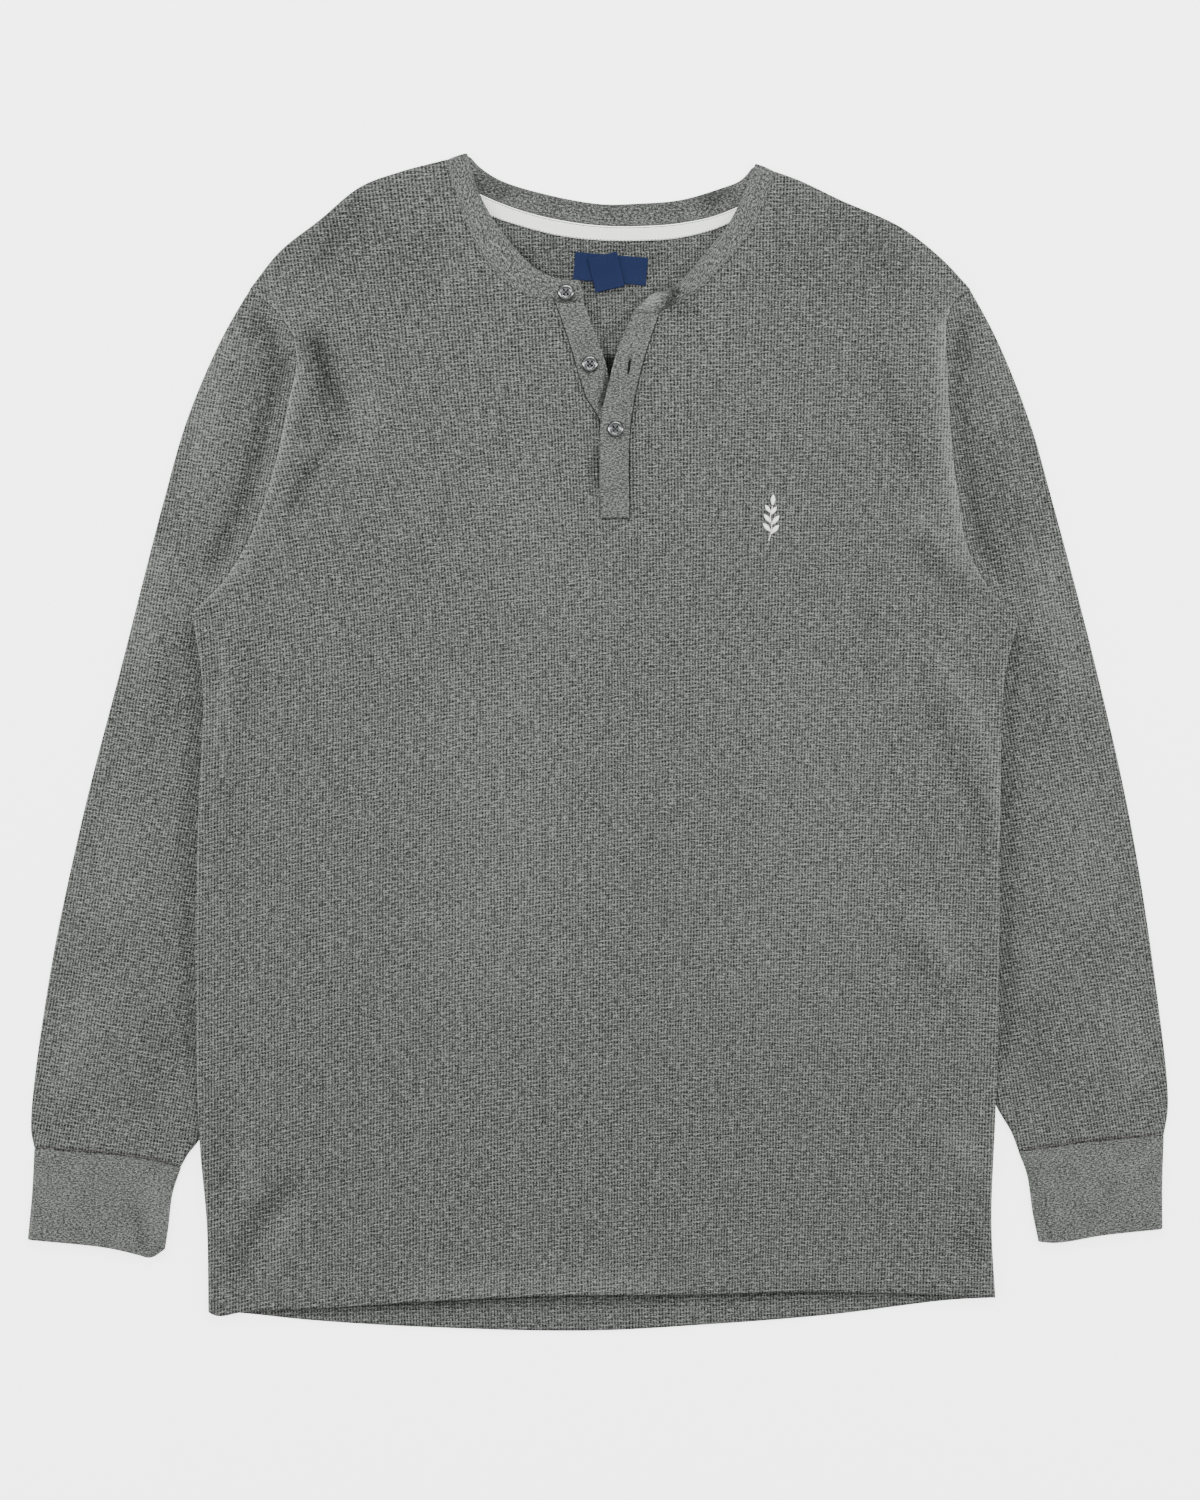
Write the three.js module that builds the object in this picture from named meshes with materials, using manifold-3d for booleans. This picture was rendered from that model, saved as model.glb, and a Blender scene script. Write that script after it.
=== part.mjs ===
// Long-sleeved thermal top in waffle knit with a three-button henley neck, laid flat on its back.
// Millimetres. X runs to the right as one looks down on the front, Y runs towards the neck and
// Z rises from the surface that the top lies on. Left and right are as seen in that view.
// The origin is under the middle of the top.
//
// Each cut piece is a closed wall of its own: body panels and plackets are sheets with a thickness,
// sleeves and cuffs are flattened tubes, and the neckband is a strip that turns over at each shoulder.
// The sleeves run in behind the body, so the back panel rests on them near the side seams.

import * as THREE from "three";
import Module from "manifold-3d";

const wasm = await Module();
wasm.setup();

// Cloth thicknesses and the air between pieces.
const BODY_WALL = 1.3;
const SLEEVE_WALL = 1.2;
const CUFF_WALL = 1.6;
const BAND_WALL = 2.0;
const PLACKET_WALL = 1.3;
const TAPE_WALL = 0.6;
const LABEL_WALL = 0.6;
const TAB_WALL = 0.9;
const LAYER_GAP = 0.7;
const SEAM_GAP = 0.3;
const ARMHOLE_GAP = 0.5;
const CUFF_GAP = 0.6;
const PLACKET_GAP = 0.5;
const TURN_GAP = 1.0;

// Points closer than this are one point.
const WELD = 1e-4;

// How finely each piece is divided.
const ROWS_BELOW_ARMPIT = 17;
const ROWS_SLIT = 6;
const ROWS_NECK = 8;
const ROWS_ARMHOLE = ROWS_SLIT + ROWS_NECK;
const COLUMNS_HALF = 10;
const COLUMNS_BACK_SHOULDER = 4;
const COLUMNS_BACK_NECK = 12;
const COLUMNS_TUBE = 9;
const ROWS_SLEEVE = 18;
const ROWS_CUFF = 3;
const ROWS_BAND_END = 2;
const ROWS_BAND_TURN = 4;
const COLUMNS_NARROW = 2;

// Half the width of the rounded edge of a flattened tube, where its two layers join.
const TUBE_EDGE = 3.0;
const TUBE_HOLLOW_EDGE = 4.5;

// Centre-front slit that the plackets fill: its left and right edges and its lower end.
const SLIT_LEFT = 1.4;
const SLIT_RIGHT = 22.4;
const SLIT_FOOT = 157.0;

// The inner fold of each sleeve leaves the armhole seam near the shoulder and runs unseen behind the
// body: almost straight down, and below bowY outwards again on a bow to where it shows near the cuff.
const HIDDEN_FOLD = {
  left: { side: -1, topX: 211, topY: 270, lean: 0.035, bowY: -95, bend: 0.00144 },
  right: { side: 1, topX: 243.8, topY: 270, lean: 0, bowY: -94, bend: 0.00134 },
};
const SEAM_STEPS_IN_VIEW = 3;
const TUBE_HEIGHT = 2 * SLEEVE_WALL + LAYER_GAP;

// The body rises over the sleeves on a soft ramp, and comes down again towards the shoulders.
const SLEEVE_CLEARANCE = TUBE_HEIGHT + 0.7;
const RAMP_START = 140;
const RAMP_END = 20;
const SHOULDER_RAMP_START = 275;
const SHOULDER_RAMP_END = 400;

// The front lifts towards the neck seam, which follows an ellipse.
const NECK_CENTRE = { x: 8, y: 385 };
const NECK_RADIUS = { x: 115, y: 80 };
const NECK_LIFT = 1.0;
const NECK_LIFT_END = 1.5;

// Height of the middle of the neckband's wall, in front and at the back, and of its free edge.
const BAND_CROWN = 0.2;
const BAND_BACK_Z = BAND_WALL / 2 + BAND_CROWN;
const BAND_FRONT_Z = 3.9;
const BAND_EDGE_RISE = 1.2;

// The over placket rides up on the under placket below the open V.
const PLACKET_LIFT = 1.7;
const PLACKET_LIFT_LOW = 258;
const PLACKET_LIFT_HIGH = 294;

// Eighteen-line shirt button with a rim, a dish and four holes.
const BUTTON = { radius: 5.75, height: 2.3, dish: 0.7, rim: 1.3, hole: 0.75, holeOffset: 1.35 };
const BUTTON_SIDES = 20;
const HOLE_SIDES = 8;

const COLOUR = {
  body: 0x767876,
  sleeve: 0x777977,
  trim: 0x7d7f7d,
  tape: 0xeeeeeb,
  label: 0x2f3a58,
  tab: 0x2d3758,
  button: 0x5b5c5e,
};

const at = (x, y) => new THREE.Vector3(x, y, 0);

// Edges of the cut pieces as they lie, each a few points on a smooth curve, from the hem upwards,
// from the armhole downwards on a sleeve, and from the middle of the top outwards on the neckband.
const EDGE = {
  side: {
    left: [at(-272.5, -399), at(-273.4, -338), at(-278.6, -277), at(-281, -180), at(-281, -110),
      at(-278.6, -35), at(-275.8, 29), at(-279, 62), at(-284.2, 90)],
    right: [at(277.9, -389), at(275, -335), at(277.9, -256), at(280, -181), at(280.7, -69),
      at(282, 15), at(285, 50), at(294, 86)],
  },
  armhole: {
    left: [at(-284.2, 90), at(-263, 109.5), at(-240, 148), at(-224, 197), at(-216, 235),
      at(-210.5, 262), at(-213, 283), at(-226, 302), at(-243.6, 316)],
    right: [at(294, 86), at(272, 108), at(257.5, 135), at(251.3, 169), at(246.4, 211),
      at(243.5, 262), at(243.5, 293), at(250, 308.5), at(260.4, 316)],
  },
  shoulder: {
    left: [at(-243.6, 316), at(-222.6, 342.6), at(-194.6, 365), at(-166.6, 388), at(-138.6, 398.6),
      at(-105.7, 407.1)],
    right: [at(123.9, 398.7), at(141.4, 392.3), at(169.4, 379), at(211.4, 360), at(239.4, 338.4),
      at(260.4, 316)],
  },
  frontHem: {
    left: [at(-272.5, -399), at(-251, -399), at(-180.6, -395.6), at(-114, -391), at(-21.7, -387),
      at(SLIT_LEFT, -387)],
    right: [at(SLIT_RIGHT, -386.7), at(71.4, -386.6), at(147.7, -384.8), at(208, -385.8),
      at(277.9, -389)],
  },
  backHem: [at(-272.5, -399), at(-251, -400), at(-202, -405), at(-126, -409.7), at(-7.7, -412.5),
    at(72.7, -408.4), at(161, -401.4), at(245, -391), at(277.9, -389)],
  slit: {
    left: [at(SLIT_LEFT, SLIT_FOOT), at(SLIT_LEFT, 222), at(-9, 241), at(-18.9, 274), at(-30, 306.7)],
    right: [at(SLIT_RIGHT, SLIT_FOOT), at(SLIT_RIGHT, 211), at(25.2, 235.5), at(32.9, 268.4),
      at(43.4, 300)],
  },
  placketFree: {
    under: [at(20.5, SLIT_FOOT + 2), at(19.5, 215), at(12, 238), at(4.9, 267), at(-4.2, 291.5),
      at(-9.6, 306.7)],
    over: [at(SLIT_LEFT, SLIT_FOOT), at(SLIT_LEFT, 221.5), at(7, 249.5), at(13.3, 274), at(24.5, 300)],
  },
  bandSeamFront: {
    left: [at(-9.6, 307), at(-30, 307), at(-54.6, 315.3), at(-78.4, 337), at(-93.1, 365),
      at(-102.2, 393), at(-105.7, 407.1)],
    right: [at(24.5, 300.5), at(43.4, 300.3), at(60.2, 309.1), at(82.6, 328.7), at(104.3, 353.9),
      at(116.2, 379.1), at(123.9, 398.7)],
  },
  bandFreeFront: {
    left: [at(-12.6, 322.3), at(-29.4, 323.7), at(-45.5, 332), at(-68.6, 358), at(-83.3, 384),
      at(-91.7, 412)],
    right: [at(38, 312.8), at(47.6, 314.6), at(58.8, 323), at(78.4, 345.4), at(91, 361.5),
      at(100, 379), at(110.2, 404.6)],
  },
  bandSeamBack: [at(-105.7, 407.1), at(-97, 391), at(-82.6, 382.5), at(-54.6, 371.3), at(-26.6, 364.3),
    at(1.4, 360.5), at(29.4, 360.1), at(57.4, 362.2), at(85.4, 368.5), at(108, 380), at(123.9, 398.7)],
  bandFreeBack: [at(-91.7, 412), at(-82.6, 402), at(-68.6, 393), at(-40.6, 384), at(1.4, 376.2),
    at(29.4, 376.6), at(57.4, 379), at(85.4, 387), at(100, 393), at(110.2, 404.6)],
  tapeFoot: [at(-90, 375), at(-77, 368.5), at(-54.6, 360.8), at(-26.6, 353.8), at(1.4, 350.7),
    at(29.4, 350.4), at(57.4, 352.4), at(85.4, 359.8), at(102, 367)],
  sleeveOuter: {
    left: [at(-243.6, 316), at(-263.9, 281), at(-287.7, 225), at(-303.8, 169), at(-332.5, 57),
      at(-361.2, -55), at(-384.3, -167), at(-396.9, -270), at(-394.5, -285)],
    right: [at(260.4, 316), at(279.3, 281), at(301.7, 225), at(317.8, 169), at(347.2, 57),
      at(372.4, -55), at(389.9, -167), at(399, -254), at(396, -276)],
  },
  sleeveFoot: {
    left: [at(-278.3, -277.5), at(-286.8, -288.7), at(-291.6, -298)],
    right: [at(278.2, -254), at(289, -273), at(294, -286.6)],
  },
  cuffSeam: {
    left: [at(-394.5, -285), at(-343.7, -288.4), at(-311.5, -292.7), at(-291.6, -298)],
    right: [at(396, -276), at(350.7, -279), at(316.4, -283.8), at(294, -286.6)],
  },
  cuffOuter: {
    left: [at(-394.5, -285), at(-396, -315), at(-399, -348)],
    right: [at(396, -276), at(395, -308), at(395, -340.5)],
  },
  cuffInner: {
    left: [at(-291.6, -298), at(-297.5, -316), at(-300.5, -340), at(-302.8, -355)],
    right: [at(294, -286.6), at(300, -303), at(304, -330), at(308, -349.6)],
  },
  cuffHem: {
    left: [at(-399, -348), at(-343.7, -353.7), at(-322, -358.5), at(-312, -360.7), at(-302.8, -355)],
    right: [at(395, -340.5), at(350.7, -345.3), at(328, -349.4), at(317.8, -350.3), at(308, -349.6)],
  },
};

// Soft ridges of the laid cloth: a path on the surface, the height of its crest and its half width.
const FRONT_FOLDS = [
  { path: [at(-212, 290), at(-217, 240), at(-228, 190), at(-250, 132), at(-280, 96)],
    height: 3.4, width: 10 },
  { path: [at(-200, 268), at(-196, 235), at(-207, 190)], height: 3.0, width: 9 },
  { path: [at(-284, 88), at(-256, 40), at(-268, 5)], height: 2.6, width: 11 },
  { path: [at(-268, -372), at(-250, -322), at(-234, -292)], height: 2.0, width: 9 },
  { path: [at(-240, -388), at(-218, -336), at(-192, -306)], height: 2.2, width: 11 },
  { path: [at(245, 300), at(247, 215), at(254, 150), at(288, 92)], height: 3.4, width: 10 },
  { path: [at(212, 250), at(222, 172), at(270, 108)], height: 2.4, width: 12 },
  { path: [at(225, 64), at(270, -8), at(278, -90)], height: 3.0, width: 11 },
  { path: [at(222, -130), at(272, -212)], height: 1.8, width: 12 },
  { path: [at(212, -270), at(266, -345)], height: 2.0, width: 11 },
];
const SLEEVE_FOLDS = {
  left: [
    { path: [at(-252, 324), at(-224, 303), at(-211, 280), at(-209, 252)], height: 3.0, width: 11 },
    { path: [at(-256, 290), at(-270, 225), at(-284, 150)], height: 3.6, width: 15 },
    { path: [at(-300, 140), at(-318, 60)], height: 1.6, width: 12 },
    { path: [at(-345, -150), at(-372, -235)], height: 1.6, width: 14 },
  ],
  right: [
    { path: [at(268, 324), at(248, 306), at(243, 286), at(243, 272)], height: 3.0, width: 11 },
    { path: [at(276, 272), at(286, 215), at(299, 140)], height: 3.6, width: 14 },
    { path: [at(322, 60), at(345, -50)], height: 1.6, width: 14 },
    { path: [at(352, -170), at(380, -250)], height: 1.6, width: 13 },
  ],
};

const smoothCurve = (points) => new THREE.CatmullRomCurve3(points, false, "centripetal");
const smoothstep = THREE.MathUtils.smoothstep;
const reversed = (points) => [...points].reverse();
const shifted = (points, x, y) => points.map((point) => at(point.x + x, point.y + y));

// Even steps from 0 to 1.
function evenSteps(count) {
  return Array.from({ length: count + 1 }, (_, index) => index / count);
}

// Points along an edge made of one or more curves, each cut into its own number of equal steps.
function edge(...pieces) {
  const result = [];
  for (const { points, steps } of pieces) {
    const spaced = smoothCurve(points).getSpacedPoints(steps);
    if (result.length > 0) {
      spaced.shift();
    }
    result.push(...spaced);
  }
  return result;
}

// The same line with each of its segments cut into equal parts.
function cutFiner(points, parts) {
  const cuts = evenSteps(parts).slice(1);
  return points.flatMap((point, index) => (
    index === 0 ? [point] : cuts.map((cut) => points[index - 1].clone().lerp(point, cut))
  ));
}

// Four-sided patch between its left, right, lower and upper edges, as rows of points. The bow of
// the lower edge dies away over the rows, faster with a higher fade.
function patch(left, right, lower, upper, across = evenSteps(lower.length - 1), fade = 1) {
  const lastRow = left.length - 1;
  const lastColumn = lower.length - 1;
  return left.map((leftPoint, row) => {
    const v = row / lastRow;
    return across.map((u, column) => {
      if (column === 0 || column === lastColumn) {
        return column === 0 ? leftPoint : right[row];
      }
      const lowerShare = (1 - v) ** fade;
      const point = leftPoint.clone().lerp(right[row], u);
      const lowerBow = lower[column].clone().sub(lower[0].clone().lerp(lower[lastColumn], u));
      const upperBow = upper[column].clone().sub(upper[0].clone().lerp(upper[lastColumn], u));
      point.addScaledVector(lowerBow, lowerShare).addScaledVector(upperBow, v);
      return point;
    });
  });
}

// Distance from a spot to a path, and how far along the path the nearest point is.
function nearest(path, x, y) {
  let best = { distance: Infinity, along: 0 };
  const steps = path.length - 1;
  for (let step = 0; step < steps; step += 1) {
    const line = path[step + 1].clone().sub(path[step]);
    const offset = at(x, y).sub(path[step]);
    const share = THREE.MathUtils.clamp(offset.dot(line) / line.lengthSq(), 0, 1);
    const distance = offset.addScaledVector(line, -share).length();
    if (distance < best.distance) {
      best = { distance, along: (step + share) / steps };
    }
  }
  return best;
}

// Height that the folds add at a spot. Each fold fades towards both of its ends.
function foldRise(folds, x, y) {
  const FADE = 0.22;
  let rise = 0;
  for (const { path, height, width } of folds) {
    const { distance, along } = nearest(path, x, y);
    const fade = smoothstep(along, 0, FADE) * (1 - smoothstep(along, 1 - FADE, 1));
    rise += height * fade * Math.exp(-((distance / width) ** 2));
  }
  return rise;
}

// X of a sleeve's hidden inner fold at a given Y.
function hiddenFoldX({ side, topX, topY, lean, bowY, bend }, y) {
  return side * (topX + lean * (topY - y) + bend * Math.max(0, bowY - y) ** 2);
}

// Height of the body's underside: flat on the surface, and up on the hidden part of each sleeve.
function bodyLift(x, y) {
  let lift = 0;
  for (const fold of Object.values(HIDDEN_FOLD)) {
    const outside = fold.side * (hiddenFoldX(fold, y) - x);
    lift = Math.max(lift, 1 - smoothstep(outside, RAMP_END, RAMP_START));
  }
  return SLEEVE_CLEARANCE * lift * (1 - smoothstep(y, SHOULDER_RAMP_START, SHOULDER_RAMP_END));
}

// Height that the front gains near the neck seam.
function neckLift(x, y) {
  const away = Math.hypot((x - NECK_CENTRE.x) / NECK_RADIUS.x, (y - NECK_CENTRE.y) / NECK_RADIUS.y);
  return NECK_LIFT * (1 - smoothstep(away, 1, NECK_LIFT_END));
}

const backTop = (x, y) => bodyLift(x, y) + BODY_WALL;
const frontUnder = (x, y) => backTop(x, y) + LAYER_GAP + neckLift(x, y) + foldRise(FRONT_FOLDS, x, y);
const frontTop = (x, y) => frontUnder(x, y) + BODY_WALL;

// A closed body from a list of points and triangles, with its faces turned outwards.
function solid(points, triangles) {
  const corners = triangles.flat().map((index) => points[index]);
  let sixVolumes = 0;
  for (let index = 0; index < corners.length; index += 3) {
    const cross = corners[index + 1].clone().cross(corners[index + 2]);
    sixVolumes += corners[index].dot(cross);
  }
  const faces = sixVolumes < 0 ? triangles.map(([a, b, c]) => [a, c, b]) : triangles;
  const geometry = new THREE.BufferGeometry();
  geometry.setAttribute("position", new THREE.Float32BufferAttribute(points.flatMap((p) => p.toArray()), 3));
  geometry.setIndex(faces.flat());
  geometry.computeVertexNormals();
  return geometry;
}

// A sheet of cloth: patches that share their edges, given an upper face and a thickness.
function sheet(patches, topZ, wall) {
  const flat = [];
  const known = new Map();
  const indexOf = (point) => {
    const key = `${Math.round(point.x / WELD)} ${Math.round(point.y / WELD)}`;
    if (!known.has(key)) {
      known.set(key, flat.length);
      flat.push(point);
    }
    return known.get(key);
  };
  const upper = [];
  for (const rows of patches) {
    for (let row = 0; row + 1 < rows.length; row += 1) {
      for (let column = 0; column + 1 < rows[row].length; column += 1) {
        const a = indexOf(rows[row][column]);
        const b = indexOf(rows[row][column + 1]);
        const c = indexOf(rows[row + 1][column + 1]);
        const d = indexOf(rows[row + 1][column]);
        upper.push([a, b, c], [a, c, d]);
      }
    }
  }
  const count = flat.length;
  const top = flat.map((point) => new THREE.Vector3(point.x, point.y, topZ(point.x, point.y)));
  const under = top.map((point) => new THREE.Vector3(point.x, point.y, point.z - wall));
  const lower = upper.map(([a, b, c]) => [a + count, c + count, b + count]);
  const edges = upper.flatMap(([a, b, c]) => [[a, b], [b, c], [c, a]]);
  const directed = new Set(edges.map(([a, b]) => `${a} ${b}`));
  const rim = edges.filter(([a, b]) => !directed.has(`${b} ${a}`));
  const walls = rim.flatMap(([a, b]) => [[a + count, b + count, b], [a + count, b, a]]);
  return solid([...top, ...under], [...upper, ...lower, ...walls]);
}

// Joins rings of points, one after another, into a skin.
function skin(ringCount, ringSize, first) {
  const faces = [];
  for (let ring = 0; ring + 1 < ringCount; ring += 1) {
    for (let step = 0; step < ringSize; step += 1) {
      const next = (step + 1) % ringSize;
      const a = first + ring * ringSize + step;
      const b = first + ring * ringSize + next;
      faces.push([a, b, b + ringSize], [a, b + ringSize, a + ringSize]);
    }
  }
  return faces;
}

// A flattened tube of cloth over a patch whose columns run from its outer to its inner fold.
// Its two layers lie on each other and join at both folds, and both of its ends are open.
function tube(rows, wall, rise) {
  const height = 2 * wall + LAYER_GAP;
  const ringSize = 2 * (rows[0].length - 1);
  const ringPoints = (row, upperZ, lowerZ, inset) => {
    const last = row.length - 1;
    const width = row[0].distanceTo(row[last]);
    const squeeze = 1 - (2 * inset) / width;
    const middle = row[0].clone().lerp(row[last], 0.5);
    const place = (column, z) => {
      const point = inset > 0 ? row[column].clone().lerp(middle, 1 - squeeze) : row[column].clone();
      const isFold = column === 0 || column === last;
      point.z = isFold ? height / 2 : z + (z > height / 2 ? rise(point.x, point.y) : 0);
      return point;
    };
    const over = row.map((_, column) => place(column, upperZ));
    const under = reversed(row.slice(1, last).map((_, column) => place(column + 1, lowerZ)));
    return [...over, ...under];
  };
  const outside = rows.flatMap((row) => ringPoints(row, height, 0, 0));
  const inside = rows.flatMap((row) => ringPoints(row, height - wall, wall, TUBE_HOLLOW_EDGE));
  const hollowStart = outside.length;
  const outerFaces = skin(rows.length, ringSize, 0);
  const innerFaces = skin(rows.length, ringSize, hollowStart).map(([a, b, c]) => [a, c, b]);
  const endFaces = [];
  const lastRing = (rows.length - 1) * ringSize;
  for (let step = 0; step < ringSize; step += 1) {
    const next = (step + 1) % ringSize;
    endFaces.push([step, step + hollowStart, next + hollowStart], [step, next + hollowStart, next]);
    const far = [step, next].map((index) => index + lastRing);
    endFaces.push([far[0], far[1], far[1] + hollowStart], [far[0], far[1] + hollowStart, far[0] + hollowStart]);
  }
  return solid([...outside, ...inside], [...outerFaces, ...innerFaces, ...endFaces]);
}

// A strip from stations, each with the middle of its wall at the free and the seam edge and the
// direction of its outer face.
function strip(stations, wall) {
  const ringSize = 6;
  const points = stations.flatMap(({ free, seam, out }) => {
    const middle = free.clone().lerp(seam, 0.5);
    const shift = (point, amount) => point.clone().addScaledVector(out, amount);
    const half = wall / 2;
    return [
      shift(free, half), shift(middle, half + BAND_CROWN), shift(seam, half),
      shift(seam, -half), shift(middle, -half), shift(free, -half),
    ];
  });
  const faces = skin(stations.length, ringSize, 0);
  const last = (stations.length - 1) * ringSize;
  for (const [a, b, c] of [[0, 4, 5], [0, 1, 4], [1, 3, 4], [1, 2, 3]]) {
    faces.push([a, c, b], [a + last, b + last, c + last]);
  }
  return solid(points, faces);
}

// Edges of a body panel from the hem to the shoulder.
function outerEdge(side) {
  return edge(
    { points: EDGE.side[side], steps: ROWS_BELOW_ARMPIT },
    { points: EDGE.armhole[side], steps: ROWS_ARMHOLE },
  );
}

// Neck seam of a front half, from the top of its slit to the shoulder.
function frontNeckSeam(side) {
  return edge({ points: EDGE.bandSeamFront[side].slice(1), steps: ROWS_NECK });
}

function backNeckSeam() {
  return edge({ points: EDGE.bandSeamBack, steps: COLUMNS_BACK_NECK });
}

function backPanel() {
  const lower = edge({ points: EDGE.backHem, steps: 2 * COLUMNS_BACK_SHOULDER + COLUMNS_BACK_NECK });
  const shoulder = (side) => edge({ points: EDGE.shoulder[side], steps: COLUMNS_BACK_SHOULDER });
  const upper = [...shoulder("left"), ...backNeckSeam().slice(1, -1), ...shoulder("right")];
  return sheet([patch(outerEdge("left"), outerEdge("right"), lower, upper)], backTop, BODY_WALL);
}

// The front: a half on each side of the slit and the narrow strip below the slit between them.
function frontPanel() {
  const innerEdge = (side, x, hemY) => [
    ...edge(
      { points: [at(x, hemY), at(x, SLIT_FOOT)], steps: ROWS_BELOW_ARMPIT },
      { points: EDGE.slit[side], steps: ROWS_SLIT },
    ).slice(0, -1),
    ...frontNeckSeam(side),
  ];
  const hemLeft = edge({ points: EDGE.frontHem.left, steps: COLUMNS_HALF });
  const hemRight = edge({ points: EDGE.frontHem.right, steps: COLUMNS_HALF });
  const innerLeft = innerEdge("left", SLIT_LEFT, hemLeft[COLUMNS_HALF].y);
  const innerRight = innerEdge("right", SLIT_RIGHT, hemRight[0].y);
  const shoulderLeft = edge({ points: EDGE.shoulder.left, steps: COLUMNS_HALF });
  const shoulderRight = edge({ points: EDGE.shoulder.right, steps: COLUMNS_HALF });
  const below = (points) => points.slice(0, ROWS_BELOW_ARMPIT + 1);
  const across = (from, to) => edge({ points: [from, to], steps: COLUMNS_NARROW });
  const middleLeft = below(innerLeft);
  const middleRight = below(innerRight);
  const patches = [
    patch(outerEdge("left"), innerLeft, hemLeft, shoulderLeft),
    patch(middleLeft, middleRight, across(middleLeft[0], middleRight[0]),
      across(middleLeft[ROWS_BELOW_ARMPIT], middleRight[ROWS_BELOW_ARMPIT])),
    patch(innerRight, outerEdge("right"), hemRight, shoulderRight),
  ];
  return sheet(patches, frontTop, BODY_WALL);
}

// Even steps across a tube, with a short one more at each rounded fold.
function tubeSteps(width) {
  const fold = TUBE_EDGE / width;
  return [0, fold, ...evenSteps(COLUMNS_TUBE).slice(1, -1), 1 - fold, 1];
}

// The same steps along an edge that is already cut evenly.
function tubeEdge(points, steps) {
  const last = points.length - 1;
  const start = points[0].clone().lerp(points[1], steps[1] * last);
  const end = points[last].clone().lerp(points[last - 1], steps[1] * last);
  return [points[0], start, ...points.slice(1, -1), end, points[last]];
}

// A sleeve, from the part of the armhole seam that lies open beside it to the cuff.
function sleeve(side) {
  const { side: sign } = HIDDEN_FOLD[side];
  const bodyEdge = reversed(edge({ points: EDGE.armhole[side], steps: ROWS_ARMHOLE }));
  const open = shifted(bodyEdge.slice(0, SEAM_STEPS_IN_VIEW + 1), sign * ARMHOLE_GAP, 0);
  const armhole = cutFiner(open, COLUMNS_TUBE / SEAM_STEPS_IN_VIEW);
  const start = armhole.at(-1);
  const foot = EDGE.sleeveFoot[side];
  const HIDDEN_STEPS = 8;
  const hidden = evenSteps(HIDDEN_STEPS).slice(1).map((step) => {
    const y = THREE.MathUtils.lerp(start.y, foot[0].y, step);
    return at(hiddenFoldX(HIDDEN_FOLD[side], y), y);
  });
  const innerPoints = [start, ...hidden, ...foot.slice(1)];
  const seam = shifted(edge({ points: EDGE.cuffSeam[side], steps: COLUMNS_TUBE }), 0, CUFF_GAP);
  const outerPoints = EDGE.sleeveOuter[side].map((point) => point.clone());
  outerPoints[0].copy(armhole[0]);
  outerPoints.at(-1).copy(seam[0]);
  innerPoints[innerPoints.length - 1] = seam.at(-1);
  const steps = tubeSteps(seam[0].distanceTo(seam.at(-1)));
  const outer = edge({ points: outerPoints, steps: ROWS_SLEEVE });
  const inner = edge({ points: innerPoints, steps: ROWS_SLEEVE });
  const BOW_FADE = 4;
  const rows = patch(outer, inner, tubeEdge(armhole, steps), tubeEdge(seam, steps), steps, BOW_FADE);
  return tube(rows, SLEEVE_WALL, (x, y) => foldRise(SLEEVE_FOLDS[side], x, y));
}

function cuff(side) {
  const seam = edge({ points: EDGE.cuffSeam[side], steps: COLUMNS_TUBE });
  const hem = edge({ points: EDGE.cuffHem[side], steps: COLUMNS_TUBE });
  const steps = tubeSteps(seam[0].distanceTo(seam.at(-1)));
  const outer = edge({ points: EDGE.cuffOuter[side], steps: ROWS_CUFF });
  const inner = edge({ points: EDGE.cuffInner[side], steps: ROWS_CUFF });
  const rows = patch(outer, inner, tubeEdge(seam, steps), tubeEdge(hem, steps), steps);
  return tube(rows, CUFF_WALL, () => 0);
}

// A point drawn from the seam towards the band's free edge by a gap.
function pulledIn(free, seam, gap = SEAM_GAP) {
  const inward = free.clone().sub(seam).setZ(0).normalize();
  return seam.clone().addScaledVector(inward, gap);
}

// Where the neckband turns over at a shoulder: the line that its wall bends round, and outwards.
function shoulderTurn(side) {
  const radius = (BAND_FRONT_Z - BAND_BACK_Z) / 2;
  const reach = radius + BAND_WALL / 2;
  const free = EDGE.bandFreeFront[side].at(-1);
  const seam = EDGE.bandSeamFront[side].at(-1);
  const along = seam.clone().sub(free).normalize();
  const out = new THREE.Vector3(-along.y, along.x, 0);
  if (out.y < 0) {
    out.negate();
  }
  const root = (point) => point.clone().addScaledVector(out, -reach);
  return { radius, out, free: root(free), seam: root(seam) };
}

// Stations of the neckband through the turn, from its front to its back.
function turnStations({ radius, out, free, seam }) {
  const up = new THREE.Vector3(0, 0, 1);
  return evenSteps(ROWS_BAND_TURN).map((step) => {
    const angle = Math.PI * step;
    const shift = (point) => {
      const moved = point.clone().addScaledVector(out, radius * Math.sin(angle));
      return moved.setZ(BAND_BACK_Z + radius * (1 + Math.cos(angle)));
    };
    const face = out.clone().multiplyScalar(Math.sin(angle)).addScaledVector(up, Math.cos(angle));
    return { free: shift(free), seam: pulledIn(free, shift(seam), TURN_GAP), out: face };
  });
}

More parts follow.
